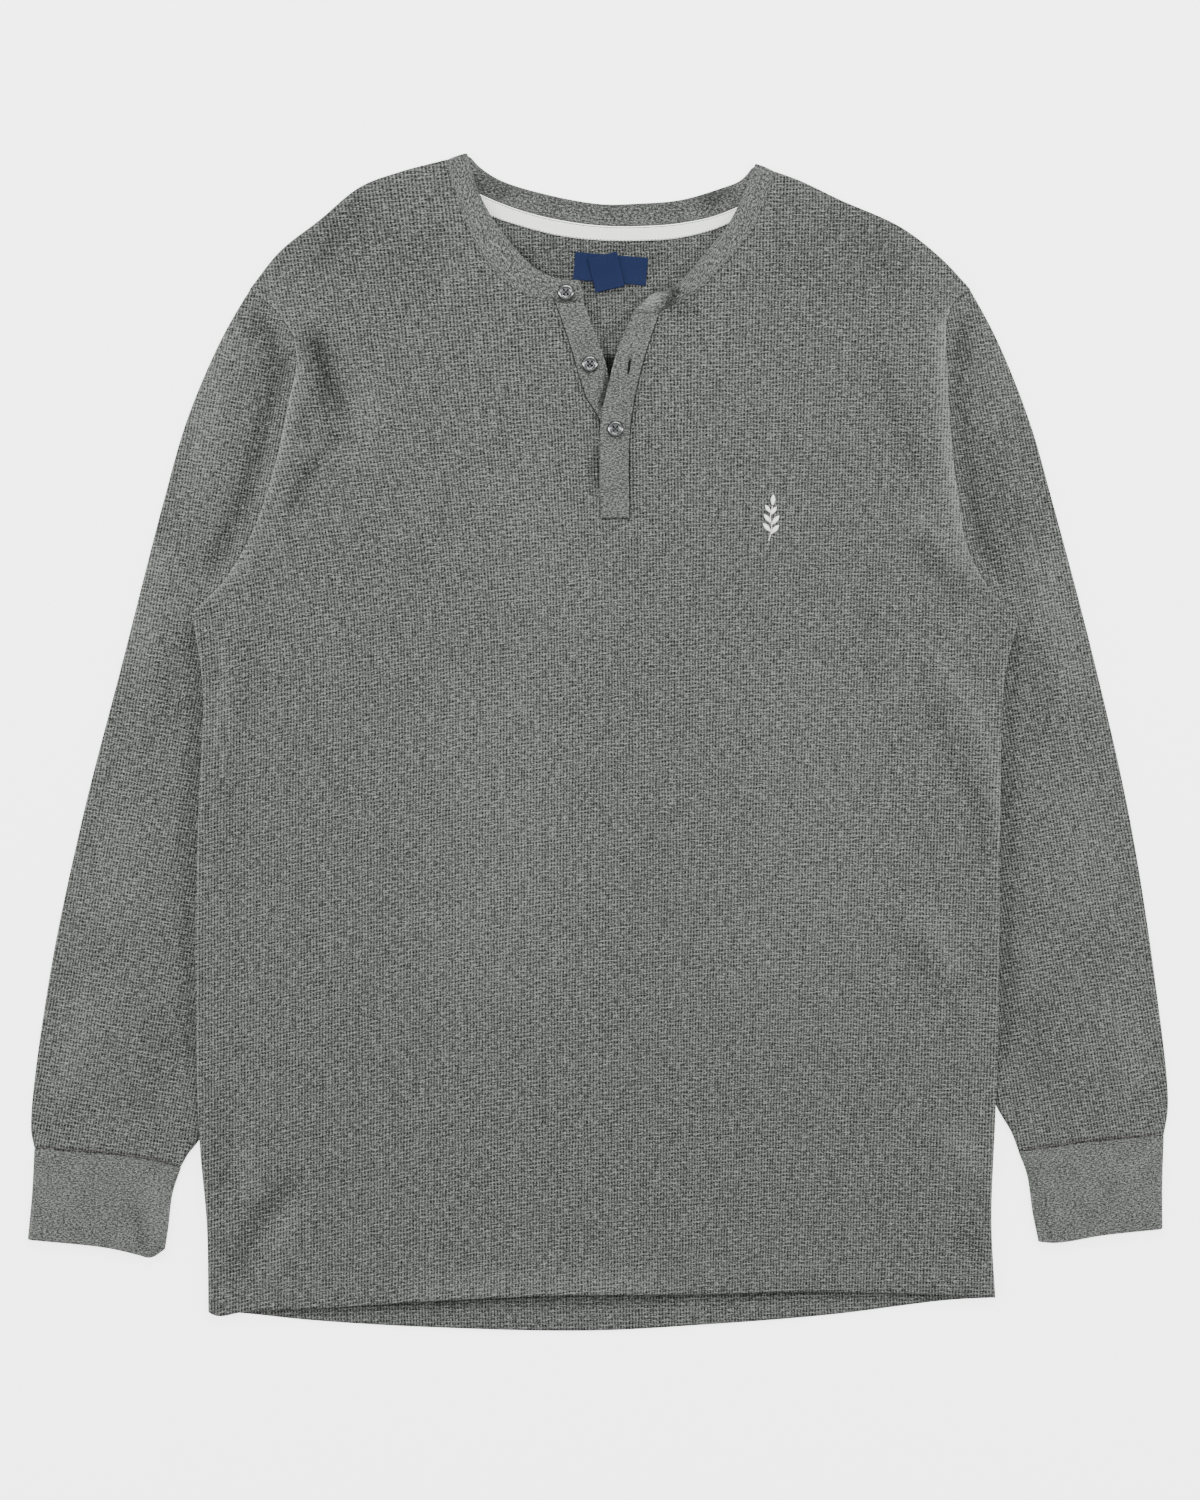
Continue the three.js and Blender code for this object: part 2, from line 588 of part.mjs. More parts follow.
// Stations of one front length of the neckband, from its end to the shoulder turn.
function frontStations(side) {
  const freePoints = EDGE.bandFreeFront[side];
  const seamPoints = EDGE.bandSeamFront[side];
  const free = edge(
    { points: freePoints.slice(0, 2), steps: ROWS_BAND_END },
    { points: freePoints.slice(1), steps: ROWS_NECK },
  );
  const seam = [
    ...edge({ points: seamPoints.slice(0, 2), steps: ROWS_BAND_END }).slice(0, -1),
    ...frontNeckSeam(side),
  ];
  const out = new THREE.Vector3(0, 0, 1);
  const last = free.length - 1;
  return free.slice(0, -1).map((point, index) => ({
    free: point.clone().setZ(BAND_FRONT_Z + BAND_EDGE_RISE * Math.sin(Math.PI * index / last)),
    seam: pulledIn(point, seam[index]).setZ(BAND_FRONT_Z),
    out,
  }));
}

// The neckband: up the left front, over the shoulder, round the back and down the right front.
function neckband() {
  const left = shoulderTurn("left");
  const right = shoulderTurn("right");
  const free = edge({ points: EDGE.bandFreeBack, steps: COLUMNS_BACK_NECK });
  const seam = backNeckSeam();
  const back = free.slice(1, -1).map((point, index) => ({
    free: point.clone().setZ(BAND_BACK_Z),
    seam: pulledIn(point, seam[index + 1]).setZ(BAND_BACK_Z),
    out: new THREE.Vector3(0, 0, -1),
  }));
  return strip([
    ...frontStations("left"),
    ...turnStations(left),
    ...back,
    ...reversed(turnStations(right)),
    ...reversed(frontStations("right")),
  ], BAND_WALL);
}

// The sewn edge of a placket: the panel's slit edge, drawn in by the seam's gap on all its sides.
function placketSewnEdge(side, gap) {
  const points = cutFiner(shifted(edge({ points: EDGE.slit[side], steps: ROWS_SLIT }), gap, 0), 2);
  points[0].y += SEAM_GAP;
  points.at(-1).y -= SEAM_GAP;
  return points;
}

// A placket between its left and right edges, which have as many points.
function placket(left, right, topZ) {
  const across = (from, to) => edge({ points: [from, to], steps: COLUMNS_NARROW });
  return sheet([patch(left, right, across(left[0], right[0]), across(left.at(-1), right.at(-1)))],
    topZ, PLACKET_WALL);
}

function underPlacket() {
  const free = edge({ points: EDGE.placketFree.under, steps: 2 * ROWS_SLIT });
  return placket(placketSewnEdge("left", PLACKET_GAP), free,
    (x, y) => backTop(x, y) + LAYER_GAP + neckLift(x, y) + PLACKET_WALL);
}

// Height of the over placket's upper face.
function overPlacketTop(x, y) {
  const lift = PLACKET_LIFT * (1 - smoothstep(y, PLACKET_LIFT_LOW, PLACKET_LIFT_HIGH));
  return backTop(x, y) + LAYER_GAP + neckLift(x, y) + lift + PLACKET_WALL;
}

function overPlacket() {
  const free = edge({ points: EDGE.placketFree.over, steps: 2 * ROWS_SLIT });
  return placket(shifted(free, SEAM_GAP, 0), placketSewnEdge("right", -PLACKET_GAP), overPlacketTop);
}

// The tape lies on the back panel along the neck seam, and its ends run in under the front neckband.
function neckTape() {
  const upper = shifted(backNeckSeam().slice(1, -1), 0, -2 * SEAM_GAP);
  const lower = edge({ points: EDGE.tapeFoot, steps: upper.length - 1 });
  const end = (index) => edge({ points: [lower.at(index), upper.at(index)], steps: 1 });
  const topZ = () => BODY_WALL + SEAM_GAP + TAPE_WALL;
  return sheet([patch(end(0), end(-1), lower, upper)], topZ, TAPE_WALL);
}

// A flat label given by its middle, size and turn.
function label({ x, y, width, height, turn }, topZ, wall) {
  const corner = (u, v) => {
    const point = new THREE.Vector3(u * width / 2, v * height / 2, 0);
    return point.applyAxisAngle(new THREE.Vector3(0, 0, 1), turn).add(at(x, y));
  };
  const line = (from, to) => edge({ points: [from, to], steps: COLUMNS_NARROW });
  const rows = patch(line(corner(-1, -1), corner(-1, 1)), line(corner(1, -1), corner(1, 1)),
    line(corner(-1, -1), corner(1, -1)), line(corner(-1, 1), corner(1, 1)));
  return sheet([rows], () => topZ, wall);
}

// A closed geometry as a solid that can be cut.
function toManifold(geometry) {
  const position = geometry.getAttribute("position");
  const known = new Map();
  const vertices = [];
  const indexOf = (index) => {
    const key = [position.getX(index), position.getY(index), position.getZ(index)]
      .map((value) => Math.round(value / WELD)).join(" ");
    if (!known.has(key)) {
      known.set(key, vertices.length / 3);
      vertices.push(position.getX(index), position.getY(index), position.getZ(index));
    }
    return known.get(key);
  };
  const corners = Array.from(geometry.index.array);
  const triangles = [];
  for (let index = 0; index < corners.length; index += 3) {
    const [a, b, c] = [0, 1, 2].map((offset) => indexOf(corners[index + offset]));
    if (a !== b && b !== c && c !== a) {
      triangles.push(a, b, c);
    }
  }
  return new wasm.Manifold(new wasm.Mesh({
    numProp: 3,
    vertProperties: new Float32Array(vertices),
    triVerts: new Uint32Array(triangles),
  }));
}

// A cut solid as a geometry again.
function fromManifold(manifold) {
  const mesh = manifold.getMesh();
  const geometry = new THREE.BufferGeometry();
  geometry.setAttribute("position", new THREE.BufferAttribute(mesh.vertProperties.slice(), 3));
  geometry.setIndex(new THREE.BufferAttribute(mesh.triVerts.slice(), 1));
  geometry.computeVertexNormals();
  return geometry;
}

// Four-hole button standing on its back, with its axis along Z.
function buttonGeometry() {
  const { radius, height, dish, rim, hole, holeOffset } = BUTTON;
  const EDGE_ROUND = 0.5;
  const FOOT_INSET = 1.4;
  const DISH_SLOPE = 1;
  const profile = [
    [0, 0], [radius - FOOT_INSET, 0], [radius - EDGE_ROUND, EDGE_ROUND], [radius, height / 2],
    [radius - EDGE_ROUND / 2, height - EDGE_ROUND / 2], [radius - rim / 2, height],
    [radius - rim, height - dish / 2], [radius - rim - DISH_SLOPE, height - dish], [0, height - dish],
  ].map(([r, z]) => new THREE.Vector2(r, z));
  const blank = new THREE.LatheGeometry(profile, BUTTON_SIDES).rotateX(Math.PI / 2);
  let body = toManifold(blank);
  for (const turn of [0, 1, 2, 3]) {
    const angle = Math.PI / 4 + turn * Math.PI / 2;
    const drill = new THREE.CylinderGeometry(hole, hole, 3 * height, HOLE_SIDES).rotateX(Math.PI / 2);
    const reach = holeOffset * Math.SQRT2;
    drill.translate(reach * Math.cos(angle), reach * Math.sin(angle), height / 2);
    body = body.subtract(toManifold(drill));
  }
  return fromManifold(body);
}

const top = new THREE.Group();

function addPiece(name, geometry, colour, roughness = 0.95) {
  const material = new THREE.MeshStandardMaterial({ color: colour, roughness, metalness: 0 });
  const mesh = new THREE.Mesh(geometry, material);
  mesh.name = name;
  top.add(mesh);
  return mesh;
}

addPiece("back_panel", backPanel(), COLOUR.body);
addPiece("front_panel", frontPanel(), COLOUR.body);
for (const side of ["left", "right"]) {
  addPiece(`sleeve_${side}`, sleeve(side), COLOUR.sleeve);
  addPiece(`cuff_${side}`, cuff(side), COLOUR.trim);
}
addPiece("neckband", neckband(), COLOUR.trim);
addPiece("placket_under", underPlacket(), COLOUR.trim);
addPiece("placket_over", overPlacket(), COLOUR.trim);
addPiece("neck_tape", neckTape(), COLOUR.tape);

const LABEL_TOP = BODY_WALL + SEAM_GAP + LABEL_WALL;
const TAB_TOP = LABEL_TOP + SEAM_GAP + TAB_WALL;
const MAIN_LABEL = { x: 8.8, y: 330.7, width: 51, height: 19.6, turn: -0.082 };
const SIZE_TAB = { x: 5.8, y: 328.2, width: 21, height: 25, turn: 0.22 };
addPiece("main_label", label(MAIN_LABEL, LABEL_TOP, LABEL_WALL), COLOUR.label);
addPiece("size_tab", label(SIZE_TAB, TAB_TOP, TAB_WALL), COLOUR.tab);

// Button places and the height of the cloth under each one.
const bandTop = BAND_FRONT_Z + BAND_WALL / 2 + BAND_CROWN + BAND_EDGE_RISE / 2;
const BUTTONS = [
  { x: -22.4, y: 313.5, base: bandTop },
  { x: -5.6, y: 263.5, base: frontTop(-5.6, 263.5) },
  { x: 12.2, y: 218, base: overPlacketTop(12.2, 218) },
];
BUTTONS.forEach(({ x, y, base }, index) => {
  const mesh = addPiece(`button_${index + 1}`, buttonGeometry(), COLOUR.button, 0.2);
  mesh.position.set(x, y, base + SEAM_GAP);
});

export default top;
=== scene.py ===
"""Looks of a long-sleeved waffle-knit henley thermal top that lies flat on its back.

The sizes are in millimetres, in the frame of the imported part, and become metres in the meshes.
Left and right are as seen when one looks down on the front.
"""

import logging
import math
from dataclasses import dataclass
from enum import Enum
from typing import Callable, Sequence

import bpy
import numpy as np
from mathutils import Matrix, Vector
from mathutils.kdtree import KDTree


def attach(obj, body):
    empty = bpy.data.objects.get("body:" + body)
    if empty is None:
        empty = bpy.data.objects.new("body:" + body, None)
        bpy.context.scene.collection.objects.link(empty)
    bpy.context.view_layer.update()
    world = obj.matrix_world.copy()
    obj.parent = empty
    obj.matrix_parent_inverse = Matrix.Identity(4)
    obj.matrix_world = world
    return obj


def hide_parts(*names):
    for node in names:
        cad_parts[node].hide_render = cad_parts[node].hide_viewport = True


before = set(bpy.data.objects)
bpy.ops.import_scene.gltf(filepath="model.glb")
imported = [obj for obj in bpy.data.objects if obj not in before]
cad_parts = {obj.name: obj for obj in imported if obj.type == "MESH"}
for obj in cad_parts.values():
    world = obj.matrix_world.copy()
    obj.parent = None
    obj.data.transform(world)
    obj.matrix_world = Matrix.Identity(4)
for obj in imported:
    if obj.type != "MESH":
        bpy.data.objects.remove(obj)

LOG = logging.getLogger("thermal_top")
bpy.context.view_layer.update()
MM = 0.001

Array = np.ndarray
Point = tuple[float, float]
Height = Callable[[Array], Array]


class Side(Enum):
    """A side of the top, as seen from above."""

    LEFT = "left"
    RIGHT = "right"

    @property
    def sign(self) -> float:
        """Direction of this side along X."""
        return -1.0 if self is Side.LEFT else 1.0


class Slot(Enum):
    """Material slots of the part."""

    WAFFLE = "waffle"
    TRIM = "trim"
    TAPE = "tape"
    LABEL = "label"
    BUTTON = "button"


# Thicknesses of the cloth and the air between its layers.
BODY_WALL = 1.3
SLEEVE_WALL = 1.2
CUFF_WALL = 1.6
BAND_WALL = 2.0
PLACKET_WALL = 1.3
TAPE_WALL = 0.6
LABEL_WALL = 0.6
TAB_WALL = 0.9
LAYER_GAP = 0.7
SEAM_GAP = 0.3

# Middle placket zone below the open V.
SLIT_LEFT = 1.4
SLIT_RIGHT = 22.4
SLIT_FOOT = 157.0

EDGE: dict[str, dict[Side, list[Point]]] = {
    "side": {
        Side.LEFT: [(-272.5, -399), (-273.4, -338), (-278.6, -277), (-281, -180), (-281, -110),
                    (-278.6, -35), (-275.8, 29), (-279, 62), (-284.2, 90)],
        Side.RIGHT: [(277.9, -389), (275, -335), (277.9, -256), (280, -181), (280.7, -69),
                     (282, 15), (285, 50), (294, 86)],
    },
    "armhole": {
        Side.LEFT: [(-284.2, 90), (-263, 109.5), (-240, 148), (-224, 197), (-216, 235),
                    (-210.5, 262), (-213, 283), (-226, 302), (-243.6, 316)],
        Side.RIGHT: [(294, 86), (272, 108), (257.5, 135), (251.3, 169), (246.4, 211),
                     (243.5, 262), (243.5, 293), (250, 308.5), (260.4, 316)],
    },
    "armhole_back": {
        Side.LEFT: [(-284.2, 90), (-256, 112), (-232, 150), (-216, 197), (-208, 235),
                    (-202.5, 262), (-205, 286), (-221, 307), (-243.6, 316)],
        Side.RIGHT: [(294, 86), (265, 110), (249.5, 137), (243.3, 169), (238.4, 211),
                     (235.5, 262), (235.5, 295), (245, 312.5), (260.4, 316)],
    },
    "shoulder": {
        Side.LEFT: [(-243.6, 316), (-222.6, 342.6), (-194.6, 365), (-166.6, 388), (-138.6, 398.6),
                    (-105.7, 407.1)],
        Side.RIGHT: [(123.9, 398.7), (141.4, 392.3), (169.4, 379), (211.4, 360), (239.4, 338.4),
                     (260.4, 316)],
    },
    "front_hem": {
        Side.LEFT: [(-272.5, -399), (-269, -401.2), (-263, -402), (-256, -400.6), (-246, -398.6),
                    (-180.6, -395.6), (-114, -391), (-21.7, -387), (SLIT_LEFT, -387)],
        Side.RIGHT: [(SLIT_RIGHT, -386.7), (71.4, -386.6), (147.7, -384.8), (208, -385.8),
                     (277.9, -389)],
    },
    "slit": {
        Side.LEFT: [(SLIT_LEFT, SLIT_FOOT), (SLIT_LEFT, 222), (-9, 241), (-18.9, 274), (-30, 306.7)],
        Side.RIGHT: [(SLIT_RIGHT, SLIT_FOOT), (SLIT_RIGHT, 211), (25.2, 235.5), (32.9, 268.4),
                     (43.4, 300)],
    },
    "placket_free": {
        Side.LEFT: [(20.5, SLIT_FOOT + 2), (19.5, 215), (12, 238), (4.9, 267), (-4.2, 291.5),
                    (-9.6, 306.7)],
        Side.RIGHT: [(SLIT_LEFT, SLIT_FOOT), (SLIT_LEFT, 221.5), (7, 249.5), (13.3, 274),
                     (24.5, 300)],
    },
    "band_seam": {
        Side.LEFT: [(-9.6, 307), (-30, 307), (-54.6, 315.3), (-78.4, 337), (-93.1, 365),
                    (-102.2, 393), (-105.7, 407.1)],
        Side.RIGHT: [(24.5, 300.5), (43.4, 300.3), (60.2, 309.1), (82.6, 328.7), (104.3, 353.9),
                     (116.2, 379.1), (123.9, 398.7)],
    },
    "band_free": {
        Side.LEFT: [(-12.6, 322.3), (-29.4, 323.7), (-45.5, 332), (-68.6, 358), (-83.3, 384),
                    (-91.7, 412)],
        Side.RIGHT: [(38, 312.8), (47.6, 314.6), (58.8, 323), (78.4, 345.4), (91, 361.5),
                     (100, 379), (110.2, 404.6)],
    },
    "sleeve_outer": {
        Side.LEFT: [(-243.6, 316), (-263.9, 281), (-287.7, 225), (-303.8, 169), (-332.5, 57),
                    (-361.2, -55), (-384.3, -167), (-396.9, -270), (-394.5, -284.4)],
        Side.RIGHT: [(260.4, 316), (279.3, 281), (301.7, 225), (317.8, 169), (347.2, 57),
                     (372.4, -55), (389.9, -167), (399, -254), (396, -275.4)],
    },
    "sleeve_foot": {
        Side.LEFT: [(-278.3, -277.5), (-286.8, -288.7), (-291.6, -297.4)],
        Side.RIGHT: [(278.2, -254), (289, -273), (294, -286)],
    },
    "cuff_seam": {
        Side.LEFT: [(-394.5, -285), (-343.7, -288.4), (-311.5, -292.7), (-291.6, -298)],
        Side.RIGHT: [(396, -276), (350.7, -279), (316.4, -283.8), (294, -286.6)],
    },
    "cuff_outer": {
        Side.LEFT: [(-394.5, -285), (-396, -315), (-399, -348)],
        Side.RIGHT: [(396, -276), (395, -308), (395, -340.5)],
    },
    "cuff_inner": {
        Side.LEFT: [(-291.6, -298), (-297.5, -316), (-300.5, -340), (-302.8, -355)],
        Side.RIGHT: [(294, -286.6), (300, -303), (304, -330), (308, -349.6)],
    },
    "cuff_hem": {
        Side.LEFT: [(-399, -348), (-343.7, -353.7), (-322, -358.5), (-312, -360.7), (-302.8, -355)],
        Side.RIGHT: [(395, -340.5), (350.7, -345.3), (328, -349.4), (317.8, -350.3), (308, -349.6)],
    },
}
BACK_HEM: list[Point] = [
    (-272.5, -399), (-251, -400), (-202, -405), (-126, -409.7), (-7.7, -412.5),
    (72.7, -408.4), (161, -401.4), (245, -391), (277.9, -389),
]
BAND_SEAM_BACK: list[Point] = [
    (-105.7, 407.1), (-97, 391), (-82.6, 382.5), (-54.6, 371.3), (-26.6, 364.3),
    (1.4, 360.5), (29.4, 360.1), (57.4, 362.2), (85.4, 368.5), (108, 380), (123.9, 398.7),
]
BAND_FREE_BACK: list[Point] = [
    (-91.7, 412), (-82.6, 402), (-68.6, 393), (-40.6, 384), (1.4, 376.2),
    (29.4, 376.6), (57.4, 379), (85.4, 387), (100, 393), (110.2, 404.6),
]
TAPE_FOOT: list[Point] = [
    (-96, 379), (-77, 368.5), (-54.6, 360.8), (-26.6, 353.8), (1.4, 350.7),
    (29.4, 350.4), (57.4, 352.4), (85.4, 359.8), (108, 371),
]


def smooth_step(value: Array, low: float, high: float) -> Array:
    """Soft step from 0 at low to 1 at high."""
    share = np.clip((value - low) / (high - low), 0.0, 1.0)
    return share * share * (3.0 - 2.0 * share)


def swell(value: Array, place: float, width: float) -> Array:
    """Soft swell of height 1 round a place."""
    return np.exp(-(((value - place) / width) ** 2))


def smooth_curve(points: Sequence[Point], density: int = 24) -> Array:
    """Dense points on a centripetal Catmull-Rom curve.

    Args:
        points: Points that the curve runs through.
        density: Number of steps between two of them.

    Returns:
        The curve's points, as rows.
    """
    known = np.array(points, dtype=float)
    padded = np.vstack([2 * known[0] - known[1], known, 2 * known[-1] - known[-2]])
    t = np.linspace(0.0, 1.0, density, endpoint=False)[:, None]
    spans = []
    for index in range(len(known) - 1):
        p0, p1, p2, p3 = padded[index:index + 4]
        d0, d1, d2 = (math.sqrt(np.linalg.norm(b - a)) for a, b in ((p0, p1), (p1, p2), (p2, p3)))
        start = ((p1 - p0) / d0 - (p2 - p0) / (d0 + d1) + (p2 - p1) / d1) * d1
        end = ((p2 - p1) / d1 - (p3 - p1) / (d1 + d2) + (p3 - p2) / d2) * d1
        square = -3 * p1 + 3 * p2 - 2 * start - end
        cube = 2 * p1 - 2 * p2 + start + end
        spans.append(p1 + start * t + square * t**2 + cube * t**3)
    return np.vstack([*spans, known[-1:]])


def along(line: Array, shares: Array) -> Array:
    """Points at the given shares of a line's length."""
    steps = np.linalg.norm(np.diff(line, axis=0), axis=1)
    reach = np.concatenate([[0.0], np.cumsum(steps)]) / steps.sum()
    return np.stack([np.interp(shares, reach, line[:, axis]) for axis in range(line.shape[1])], axis=1)


def curve_at(points: Sequence[Point], shares: Array) -> Array:
    """Points at shares of the length of the smooth curve through the given points."""
    return along(smooth_curve(points), shares)


def line_length(line: Array) -> float:
    """Length of a line of points."""
    return float(np.linalg.norm(np.diff(line, axis=0), axis=1).sum())


def offset_line(line: Array, distance: float) -> Array:
    """A line moved sideways, to its left where the distance is above zero."""
    step = np.gradient(line, axis=0)
    step /= np.linalg.norm(step, axis=1)[:, None]
    return line + np.column_stack([-step[:, 1], step[:, 0]]) * distance


# Distances from a rounded edge at which a cloth has extra columns or rows.
EDGE_STEPS = np.array([0.0, 0.25, 0.7, 1.5, 3.0])


def shares_with_edges(length: float, count: int, start: bool = True, end: bool = True) -> Array:
    """Shares from 0 to 1 that are dense at rounded edges.

    Args:
        length: Length that the shares divide.
        count: Number of even steps between the edges.
        start: Whether the first end is a rounded edge.
        end: Whether the last end is a rounded edge.

    Returns:
        The shares in rising order.
    """
    dense = EDGE_STEPS / length
    low = dense[-1] if start else 0.0
    high = 1.0 - dense[-1] if end else 1.0
    middle = np.linspace(low, high, count + 1)
    head = dense[:-1] if start else np.empty(0)
    tail = 1.0 - dense[:-1][::-1] if end else np.empty(0)
    return np.concatenate([head, middle, tail])


def patch(left: Array, right: Array, lower: Array, upper: Array, across: Array, up: Array,
          fade: float = 1.0) -> Array:
    """Four-sided patch between its edges.

    Args:
        left: Points of the left edge, one for each row.
        right: Points of the right edge.
        lower: Points of the lower edge, one for each column.
        upper: Points of the upper edge.
        across: Share of the width of each column.
        up: Share of the height of each row.
        fade: How fast the bow of the lower edge dies away.

    Returns:
        Points as rows and columns.
    """
    u = across[:, None]
    v = up[:, None, None]
    ruled = left[:, None] * (1 - u) + right[:, None] * u
    low_bow = lower - (lower[:1] * (1 - u) + lower[-1:] * u)
    high_bow = upper - (upper[:1] * (1 - u) + upper[-1:] * u)
    result = ruled + low_bow * (1 - v) ** fade + high_bow * v
    result[:, 0] = left
    result[:, -1] = right
    return result


@dataclass(frozen=True)
class Fold:
    """A soft ridge, or a trough where its height is below zero."""

    path: tuple[Point, ...]
    height: float
    width: float
    ends: float = 0.25

    def rise(self, points: Array) -> Array:
        """Height that the fold adds at each point."""
        line = smooth_curve(self.path, 6) if len(self.path) > 2 else np.array(self.path, dtype=float)
        best = np.full(len(points), np.inf)
        share = np.zeros(len(points))
        steps = len(line) - 1
        for index in range(steps):
            span = line[index + 1] - line[index]
            offset = points - line[index]
            local = np.clip(offset @ span / (span @ span), 0.0, 1.0)
            distance = np.linalg.norm(offset - local[:, None] * span, axis=1)
            nearer = distance < best
            best = np.where(nearer, distance, best)
            share = np.where(nearer, (index + local) / steps, share)
        ends = smooth_step(share, 0.0, self.ends) * (1.0 - smooth_step(share, 1.0 - self.ends, 1.0))
        return self.height * ends * np.exp(-((best / self.width) ** 2))


def fold_rise(folds: Sequence[Fold], points: Array) -> Array:
    """Height that all the folds add at each point."""
    return sum((fold.rise(points) for fold in folds), np.zeros(len(points)))


FRONT_FOLDS = (
    # Left armhole seam, and the creases that run from it into the chest.
    Fold(((-233, 302), (-212, 239), (-230, 176), (-251, 120), (-286, 92)), 3.6, 8, 0.1),
    Fold(((-197, 290), (-192, 262), (-182, 240), (-176, 215)), -4.0, 4.5),
    Fold(((-176, 222), (-194, 197), (-208, 176), (-214, 150)), -3.4, 4.5),
    Fold(((-206, 268), (-201, 240), (-194, 208), (-192, 186)), 3.0, 6),
    Fold(((-168, 262), (-160, 220), (-172, 180)), 1.6, 10),
    # Left side below the armpit.
    Fold(((-286, 92), (-266, 62), (-258, 36), (-264, 10), (-274, -8)), 1.8, 6),
    Fold(((-276, 80), (-271, 55), (-266, 36)), -2.2, 5),
    Fold(((-246, 80), (-240, 40), (-246, 0)), -1.2, 8),
    Fold(((-254, -10), (-256, -60), (-254, -118)), -1.2, 10),
    Fold(((-262, -236), (-264, -290), (-262, -330)), -1.8, 8),
    Fold(((-243, -280), (-243, -330)), 1.8, 9),
    Fold(((-256, -388), (-244, -345), (-226, -324), (-205, -296)), -2.8, 7),
    Fold(((-232, -386), (-222, -348), (-200, -318)), 2.2, 9),
    # Right armhole seam and its creases.
    Fold(((239, 302), (243, 211), (253, 148), (292, 92)), 3.6, 8, 0.1),
    Fold(((196, 275), (204, 240), (218, 200), (224, 178)), -1.8, 8),
    Fold(((215, 171), (240, 138), (281, 99)), 2.2, 8),
    Fold(((222, 150), (236, 118), (262, 92)), -1.8, 8),
    Fold(((225, 66), (258, 28), (274, -13), (279, -90)), 2.6, 7),
    Fold(((220, 56), (246, -10), (266, -50), (270, -104)), -1.9, 7),
    Fold(((188, 104), (190, 60), (190, 24)), -1.4, 7),
    Fold(((214, -108), (236, -138), (256, -172)), 1.9, 10),
    Fold(((206, -128), (230, -164), (246, -196)), -1.2, 10),
    Fold(((240, -268), (256, -288), (270, -310)), 2.2, 9),
    Fold(((246, -338), (262, -352), (272, -362)), -2.0, 10),
    # Shoulders and the neck.
    Fold(((-148, 380), (-186, 352), (-222, 322)), -1.8, 15),
    Fold(((150, 372), (190, 346), (226, 318)), -1.2, 15),
    Fold(((48, 299), (58, 300), (70, 306)), -2.2, 6),
    Fold(((-4, 212), (-4, 190), (-3, 168)), -1.0, 4),
    # Broad, low swells of the chest and the hem.
    Fold(((-120, 60), (-60, -60), (-110, -220)), 1.2, 60),
    Fold(((120, 100), (150, -60), (110, -240)), 1.0, 60),
    Fold(((-70, 210), (-40, 120), (10, 60)), 0.9, 34),
    Fold(((-160, -392), (-80, -386), (0, -384), (70, -386)), 1.8, 10),
)
# Painted tone on the front: lighter seam lines, partly lighter stretched stitches and partly a painted
# highlight on the raised seams and the band inside them; painted shade by the placket and in the left armhole
# fold; darker over the upper chest.
FRONT_SHADE = (
    *(Fold(tuple(EDGE[name][side]), 4.5, 1.5, 0.02) for name in ("side", "armhole") for side in Side),
    Fold(((-233, 306), (-217, 284), (-210, 262), (-216, 235), (-225, 197), (-241, 149)), 3.5, 3, 0.1),
    Fold(((248, 306), (240, 290), (240, 262), (243, 211), (248, 169), (254, 136)), 3, 3, 0.1),
    Fold(((-1, 206), (-1.4, 190), (-0.8, 174)), -6, 2.5),
    Fold(((-200, 296), (-195, 250), (-204, 205)), -4.4, 14),
    Fold(((-200, 345), (-105, 340)), -1.4, 40, 0.1),
    Fold(((115, 345), (220, 330)), -1.2, 40, 0.1),
)
# Painted shade on the back's inner face: under the front's hem, at the foot of the open V and inside the
# neck.
BACK_SHADE = (
    Fold(((-262, -400.5), (-180, -397), (-114, -392.5), (-22, -388.5), (71, -388), (148, -386.5),
          (215, -388)), -3, 2.2),
    Fold(((5.5, 236), (6.5, 246), (7.2, 256), (8, 266), (9, 275)), -22, 4.5, 0.3),
    Fold(((-66, 350), (-44, 326), (-20, 316)), -3, 6),
    Fold(((-70, 350), (0, 338), (70, 350)), -2.5, 22),
    Fold(((88, 350), (68, 325), (48, 310)), -3, 6),
)
# Painted light and shade on the neckband: a painted highlight on the rolled end on the right and painted
# shade in the fold behind it, painted shade on its inner face at the shoulders and along the back, and a
# painted shadow under the first button.
BAND_SHADE = (
    Fold(((26, 306), (36, 308), (46, 311)), 3.5, 6),
    Fold(((43, 296), (49, 305), (56, 318)), -6, 3.5, 0.1),
    Fold(((52, 302), (60, 306), (70, 314)), -3, 5),
    Fold(((-90, 399), (-76, 388), (-60, 380)), -4.5, 8),
    Fold(((100, 390), (84, 380), (68, 374)), -3.5, 8),
    Fold(((-36, 308), (-22, 307.4), (-10, 307)), -5, 2.5),
    Fold(((-70, 392), (-30, 380), (14, 375), (58, 378), (90, 388)), -2.2, 9, 0.05),
)
